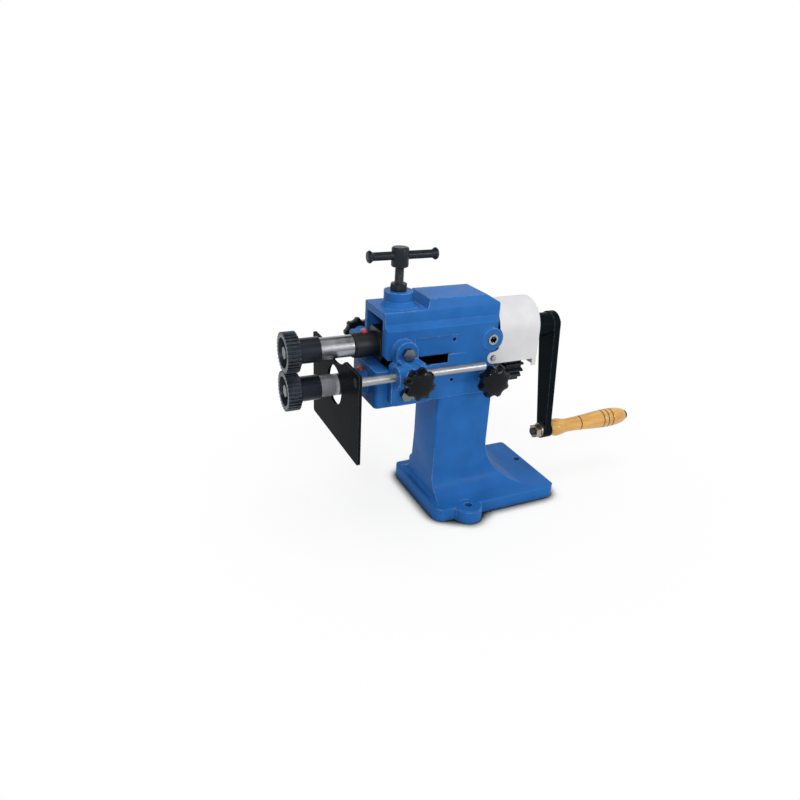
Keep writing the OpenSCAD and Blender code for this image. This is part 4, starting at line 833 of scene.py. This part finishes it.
class BEADROLLER_OT_star_knobs(RollerOperator, bpy.types.Operator):
    """Three moulded star knobs on threaded stems"""

    bl_idname = "beadroller.star_knobs"
    bl_label = "Model star knobs"

    lobes = 8
    steps = 16
    depth = 0.018

    # Place and radius of a scoop, as shares of the tip radius
    scoop_place = 1.27
    scoop_radius = 0.42

    # Height, share of the tip radius and share of the scoops' depth, from the back to the domed face
    profile = (
        (0.0021, 0.72, 0.45),
        (0.0024, 0.9, 0.9),
        (0.0034, 0.965, 1.0),
        (0.0052, 0.995, 1.0),
        (0.0080, 1.0, 1.0),
        (0.0112, 0.992, 1.0),
        (0.0132, 0.955, 1.0),
        (0.0146, 0.885, 0.9),
        (0.0156, 0.79, 0.66),
        (0.0164, 0.68, 0.36),
        (0.0171, 0.55, 0.12),
        (0.0176, 0.40, 0.0),
        (0.0179, 0.24, 0.0),
        (0.0180, 0.09, 0.0),
    )

    # CAD node, piece, body, joint, side of the machine and turn in degrees
    places = (
        ("clamp_knob_front", "front_clamp_star_knob", "front_clamp_knob", "front_clamp_turn", 1, 32),
        ("clamp_knob_rear", "rear_clamp_star_knob", "rear_clamp_knob", "rear_clamp_turn", -1, 0),
        ("shaft_lock_knob", "shaft_lock_star_knob", "lock_knob", "lock_knob_turn", 1, 20),
    )

    def outline(self, angle):
        """Share of the tip circle's radius at an angle: scoops cut out of a circle."""
        pitch = 2 * math.pi / self.lobes
        off = ((angle / pitch) % 1.0 - 0.5) * pitch
        aside = self.scoop_place * math.sin(off)
        if abs(aside) >= self.scoop_radius:
            return 1.0
        return min(1.0, self.scoop_place * math.cos(off) - math.sqrt(self.scoop_radius**2 - aside**2))

    def star(self, radius, share):
        """Radius of one ring of the knob for each angle."""
        return lambda angle: radius * (1 - share * (1 - self.outline(angle)))

    def execute(self, context):
        low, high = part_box(self.places[0][0])
        tip = self.sizes.clamp_knob_radius
        stem = (high.y - low.y) - self.depth
        knobs = [self.model(tip, stem)]
        knobs += [copy_of(knobs[0]) for _ in self.places[1:]]
        self.widen(knobs[-1], self.sizes.lock_knob_radius / tip)
        plastic = self.plastic(
            "Black plastic", self.colours.plastic, self.sizes.knob_edge, specular=0.14, Gloss=0.12
        )
        axes = {joint["name"]: joint.get("pos_m") for joint in frame["joints"]}
        for knob, (cad, name, body, joint, side, turn) in zip(knobs, self.places):
            low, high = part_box(cad)
            knob.name = knob.data.name = name
            back = low.y + self.depth if side > 0 else high.y - self.depth
            reach = (high.y - back if side > 0 else back - low.y) - stem
            self.lengthen(knob, stem, reach)
            place = (axes[joint][0], back, axes[joint][2])
            settle(knob, place, (QUARTER_TURN * side, -math.radians(turn), 0))
            finish_piece(knob, plastic, body, "black_plastic", cad)
        return {"FINISHED"}

    def model(self, tip, stem):
        """The first knob, standing on its stem."""
        stem_r, collar = self.sizes.knob_stem, self.sizes.knob_collar
        # Height and radius, from the stem's end to the collar
        rings = [
            (-stem, stem_r * 0.84),
            (-stem + 0.0007, stem_r),
            (0.0, stem_r),
            (0.0, collar * 0.94),
            (0.0004, collar),
            (0.0017, collar),
            (0.0021, collar * 1.06),
        ]
        rings += [(height, self.star(tip * share, scoop)) for height, share, scoop in self.profile]
        knob = turned(self.places[0][1], rings, count=self.lobes * self.steps)
        smooth(knob, degrees=42)
        return knob

    def pick(self, knob, low, high):
        """Opens a knob for editing with the points between two heights selected."""
        select_only(knob)
        bpy.ops.object.mode_set(mode="EDIT")
        edit = bmesh.from_edit_mesh(knob.data)
        select_points(knob.data, [v.index for v in edit.verts if low < v.co.z < high])

    def widen(self, knob, factor):
        """Makes a knob's star wider and leaves its stem as it is."""
        self.pick(knob, 2 * NEAR, FAR)
        bpy.ops.transform.resize(value=(factor, factor, 1), center_override=(0, 0, 0))
        bpy.ops.object.mode_set(mode="OBJECT")

    def lengthen(self, knob, stem, more):
        """Draws a knob's stem out to its own length."""
        self.pick(knob, -FAR, -stem + 0.001)
        bpy.ops.transform.translate(value=(0, 0, -more))
        bpy.ops.object.mode_set(mode="OBJECT")


class BEADROLLER_OT_pressure_screw(RollerOperator, bpy.types.Operator):
    """Threaded pressure screw with its drilled head, its bar and the lock nut under it"""

    bl_idname = "beadroller.pressure_screw"
    bl_label = "Model pressure screw"

    # Height over the screw's lower end and radius of the spigot
    spigot = ((0.0, 0.0024), (0.0006, 0.003), (0.0034, 0.003))
    spigot_end = 0.0036
    # Height over the head's underside, and drop from its top, each with the share of its radius
    head_foot = ((0.0, 0.90), (0.0005, 0.965), (0.0015, 1.0))
    head_top = ((0.0018, 1.0), (0.0008, 0.96), (0.0001, 0.86), (0.0, 0.80), (0.0, 0.3))

    thread_start = 0.0045
    thread_end = 0.0008
    thread_play = 0.00006
    bar_play = 0.0001
    bar_chamfer = 0.0007
    bar_end = 0.85

    # Size over the nut's flats against the solid's, and the steps and start of its turned corners
    nut_fuller = 1.08
    nut_steps = 6
    nut_start = 0.97
    nut_lead = 0.0006

    def execute(self, context):
        black = self.oxide("Pressure screw black", Wear=0.7, Gloss=0.33)
        self.screw(black)
        self.nut(black)
        self.bar(black)
        return {"FINISHED"}

    def bar(self, black):
        """The tommy bar: a round bar with chamfered ends."""
        low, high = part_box("tommy_bar")
        radius, reach = self.sizes.bar_radius, (high.x - low.x) / 2
        chamfer, end = self.bar_chamfer, radius * self.bar_end
        rings = [(-reach, end), (-reach + chamfer, radius), (reach - chamfer, radius), (reach, end)]
        bar = turned("round_tommy_bar", rings, count=48)
        settle(bar, (low + high) / 2, (0, QUARTER_TURN, 0))
        smooth(bar)
        finish_piece(bar, black, "tommy_bar", "black_steel", "tommy_bar")

    def screw(self, black):
        """The screw: spigot, thread and head with a cross hole."""
        low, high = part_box("pressure_screw")
        bar_low, bar_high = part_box("tommy_bar")
        axis_x = (low.x + high.x) / 2
        head_r = (high.x - low.x) / 2
        root = self.sizes.screw_radius - self.sizes.thread_depth
        foot = high.z - self.sizes.screw_head
        rings = [(low.z + rise, radius) for rise, radius in self.spigot]
        rings += [(low.z + self.spigot_end, root), (foot, root)]
        rings += [(foot + rise, head_r * share) for rise, share in self.head_foot]
        rings += [(high.z - drop, head_r * share) for drop, share in self.head_top]
        body = turned("threaded_pressure_screw", rings, count=64)
        deselect()
        bpy.ops.mesh.primitive_cylinder_add(
            vertices=48, radius=self.sizes.bar_radius + self.bar_play, depth=head_r * 3,
            location=(0, 0, (bar_low.z + bar_high.z) / 2), rotation=(0, QUARTER_TURN, 0),
        )
        drill = bpy.context.object
        apply_modifier(body, "BOOLEAN", operation="DIFFERENCE", object=drill, solver="EXACT")
        bpy.data.objects.remove(drill)
        thread = self.thread(root, low.z + self.thread_start, foot - self.thread_end)
        select_only(body, thread)
        bpy.ops.object.join()
        settle(body, (axis_x, 0, 0))
        smooth(body, degrees=30)
        finish_piece(body, black, "pressure_screw", "black_steel", "pressure_screw")

    def thread(self, root, start, end):
        """The thread's ridge, wound round the screw between two heights."""
        pitch = self.sizes.thread_pitch
        deselect()
        bpy.ops.mesh.primitive_circle_add(
            vertices=4, radius=1, fill_type="NOTHING",
            location=(root, 0, start), rotation=(QUARTER_TURN, 0, 0),
        )
        thread = bpy.context.object
        thread.scale = (self.sizes.thread_depth, pitch * 0.5, 1)
        bpy.ops.object.transform_apply()
        apply_modifier(
            thread, "SCREW", axis="Z", screw_offset=pitch, iterations=int((end - start) / pitch),
            steps=28, render_steps=28,
        )
        bpy.ops.object.mode_set(mode="EDIT")
        bpy.ops.mesh.select_all(action="SELECT")
        bpy.ops.mesh.fill_holes(sides=0)
        face_outwards()
        bpy.ops.object.mode_set(mode="OBJECT")
        return thread

    def nut(self, black):
        """The lock nut: a bored hexagon with turned corners."""
        low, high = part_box("lock_nut")
        flats = (high.y - low.y) / 2 * self.nut_fuller
        corner = flats / math.cos(math.radians(30))
        start = flats * self.nut_start
        drop, steps, lead = self.sizes.nut_chamfer, self.nut_steps, self.nut_lead

        def hexagon(limit):
            return lambda angle: min(limit, flats / math.cos((angle % (math.pi / 3)) - math.pi / 6))

        shares = [step / steps for step in range(steps + 1)]
        turns = [(drop * share, hexagon(start + (corner - start) * share)) for share in shares]
        rings = [(low.z + rise, side) for rise, side in turns]
        rings += [(high.z - rise, side) for rise, side in reversed(turns)]
        bore = self.sizes.screw_radius + self.thread_play
        rings += [(high.z, bore + lead), (high.z - lead, bore), (low.z + lead, bore), (low.z, bore + lead)]
        nut = turned("turned_lock_nut", rings, count=72, bored=True)
        settle(nut, ((low.x + high.x) / 2, 0, 0))
        smooth(nut, degrees=25)
        finish_piece(nut, black, "lock_nut", "black_steel", "lock_nut")


class BEADROLLER_OT_stage(RollerOperator, bpy.types.Operator):
    """Pale floor, soft studio light, white surround and the camera"""

    bl_idname = "beadroller.stage"
    bl_label = "Set the stage"

    # How far from the part its wide and its tight contact shadow reach
    wide_shadow = 0.022
    tight_shadow = 0.02

    def execute(self, context):
        context.scene.view_settings.view_transform = "Standard"
        self.floor()
        self.surround(context.scene)
        self.ceiling()
        for lamp in LAMPS:
            self.lamp(*lamp)
        self.camera(context.scene)
        return {"FINISHED"}

    def plane(self, name, size, place):
        """A level square for the stage."""
        deselect()
        bpy.ops.mesh.primitive_plane_add(size=size, location=place)
        made = bpy.context.object
        made.name = name
        bpy.ops.object.transform_apply()
        return made

    def shelter(self, tree, distance):
        """How open a point of the floor lies to what stands within a distance."""
        return node(tree, "ShaderNodeAmbientOcclusion", {"Distance": distance}, samples=8).outputs["AO"]

    def floor(self):
        """A large pale floor that keeps the shadow and is seen as white."""
        floor = self.plane("studio_floor", size=12, place=(0, 0, -0.0002))
        made, tree, shader = fresh_material("Studio floor", Roughness=0.9, Specular_IOR_Level=0.0)
        wide = self.shelter(tree, self.wide_shadow)
        dark = fit(tree, self.shelter(tree, self.tight_shadow), 0.52, 0.86, 0.0, 1.0)
        shade = calc(tree, "MULTIPLY", fit(tree, wide, 0.5, 0.9, 0.2, 1.0), dark)
        tree.links.new(shaded(tree, self.colours.floor, dark), shader.inputs["Base Color"])
        glow = node(tree, "ShaderNodeEmission", {"Strength": shade}).outputs["Emission"]
        path = node(tree, "ShaderNodeLightPath").outputs
        seen = calc(tree, "MAXIMUM", path["Is Camera Ray"], path["Is Glossy Ray"])
        coords = node(tree, "ShaderNodeTexCoord").outputs["Object"]
        away = node(tree, "ShaderNodeVectorMath", {0: coords}, operation="LENGTH").outputs["Value"]
        white = fit(tree, away, 0.16, 0.40, 0.82, 1.0)
        share = calc(tree, "MULTIPLY", seen, white)
        mixed = node(tree, "ShaderNodeMixShader", {0: share, 1: shader.outputs["BSDF"], 2: glow})
        tree.links.new(mixed.outputs["Shader"], tree.nodes["Material Output"].inputs["Surface"])
        floor.data.materials.append(made)

    def ceiling(self):
        """A dark card overhead that only reflections show, for the dark upper sides of ground steel."""
        card = self.plane("dark_card", size=1.6, place=(-0.1, 0.15, 1.0))
        card.visible_camera = card.visible_diffuse = card.visible_shadow = False
        card.visible_transmission = False
        black = (0.02, 0.02, 0.02, 1)
        made = fresh_material("Dark card", Base_Color=black, Roughness=1.0, Specular_IOR_Level=0.0)[0]
        card.data.materials.append(made)

    def surround(self, scene):
        """White all round for what is seen or mirrored, softer for the light on the object."""
        world = bpy.data.worlds.new("Studio white")
        scene.world = world
        world.use_nodes = True
        tree = world.node_tree
        fill = tree.nodes["Background"]
        set_inputs(fill, {"Color": WHITE, "Strength": 0.5})
        white = node(tree, "ShaderNodeBackground", {"Color": WHITE, "Strength": 1.0})
        path = node(tree, "ShaderNodeLightPath").outputs
        rays = [path[f"Is {kind} Ray"] for kind in ("Camera", "Glossy", "Transmission")]
        seen = calc(tree, "MAXIMUM", *rays)
        lights = {1: fill.outputs["Background"], 2: white.outputs["Background"]}
        mixed = node(tree, "ShaderNodeMixShader", {0: seen, **lights})
        tree.links.new(mixed.outputs["Shader"], tree.nodes["World Output"].inputs["Surface"])

    def lamp(self, name, place, target, size, watts):
        """A square soft lamp that looks at a point."""
        deselect()
        bpy.ops.object.light_add(type="AREA", location=place)
        lamp = bpy.context.object
        lamp.name = lamp.data.name = name
        lamp.data.size = size
        lamp.data.energy = watts
        lamp.rotation_euler = (Vector(target) - Vector(place)).to_track_quat("-Z", "Y").to_euler()

    def camera(self, scene):
        """The camera where the photographer stood, turned a little on its own axis."""
        deselect()
        bpy.ops.object.camera_add(location=CAMERA_PLACE)
        camera = bpy.context.object
        camera.name = "photo_camera"
        camera.data.sensor_width = 36.0
        camera.data.lens = 30.13
        camera.data.clip_start = 0.02
        look = Vector(CAMERA_LOOK).normalized()
        side = look.cross(Vector((0, 0, 1))).normalized()
        rise = side.cross(look)
        right = math.cos(CAMERA_ROLL) * side + math.sin(CAMERA_ROLL) * rise
        up = -math.sin(CAMERA_ROLL) * side + math.cos(CAMERA_ROLL) * rise
        camera.rotation_euler = Matrix((right, up, -look)).transposed().to_euler()
        scene.camera = camera


OPERATORS = (
    BEADROLLER_OT_stage,
    BEADROLLER_OT_castings,
    BEADROLLER_OT_swing_arm,
    BEADROLLER_OT_fence,
    BEADROLLER_OT_shafts,
    BEADROLLER_OT_rolls,
    BEADROLLER_OT_gears,
    BEADROLLER_OT_gear_cover,
    BEADROLLER_OT_crank,
    BEADROLLER_OT_fasteners,
    BEADROLLER_OT_star_knobs,
    BEADROLLER_OT_pressure_screw,
)


class BEADROLLER_PT_looks(bpy.types.Panel):
    """Lists the steps that dress the bead roller"""

    bl_idname = "BEADROLLER_PT_looks"
    bl_label = "Bead roller"
    bl_space_type = "VIEW_3D"
    bl_region_type = "UI"
    bl_category = "Bead roller"

    def draw(self, context):
        for made in OPERATORS:
            self.layout.operator(made.bl_idname)
        for settings in (context.scene.bead_roller_sizes, context.scene.bead_roller_colours):
            for name in settings.__annotations__:
                self.layout.prop(settings, name)


CLASSES = (BeadRollerSizes, BeadRollerColours, *OPERATORS, BEADROLLER_PT_looks)


def register():
    """Registers the settings, the operators and the panel."""
    for made in CLASSES:
        bpy.utils.register_class(made)
    bpy.types.Scene.bead_roller_sizes = bpy.props.PointerProperty(type=BeadRollerSizes)
    bpy.types.Scene.bead_roller_colours = bpy.props.PointerProperty(type=BeadRollerColours)


def unregister():
    """Takes the settings, the operators and the panel out again."""
    del bpy.types.Scene.bead_roller_sizes
    del bpy.types.Scene.bead_roller_colours
    for made in reversed(CLASSES):
        bpy.utils.unregister_class(made)


def main():
    """Dresses the bead roller step by step."""
    register()
    for made in OPERATORS:
        space, step = made.bl_idname.split(".")
        getattr(getattr(bpy.ops, space), step)()


if __name__ == "__main__":
    main()
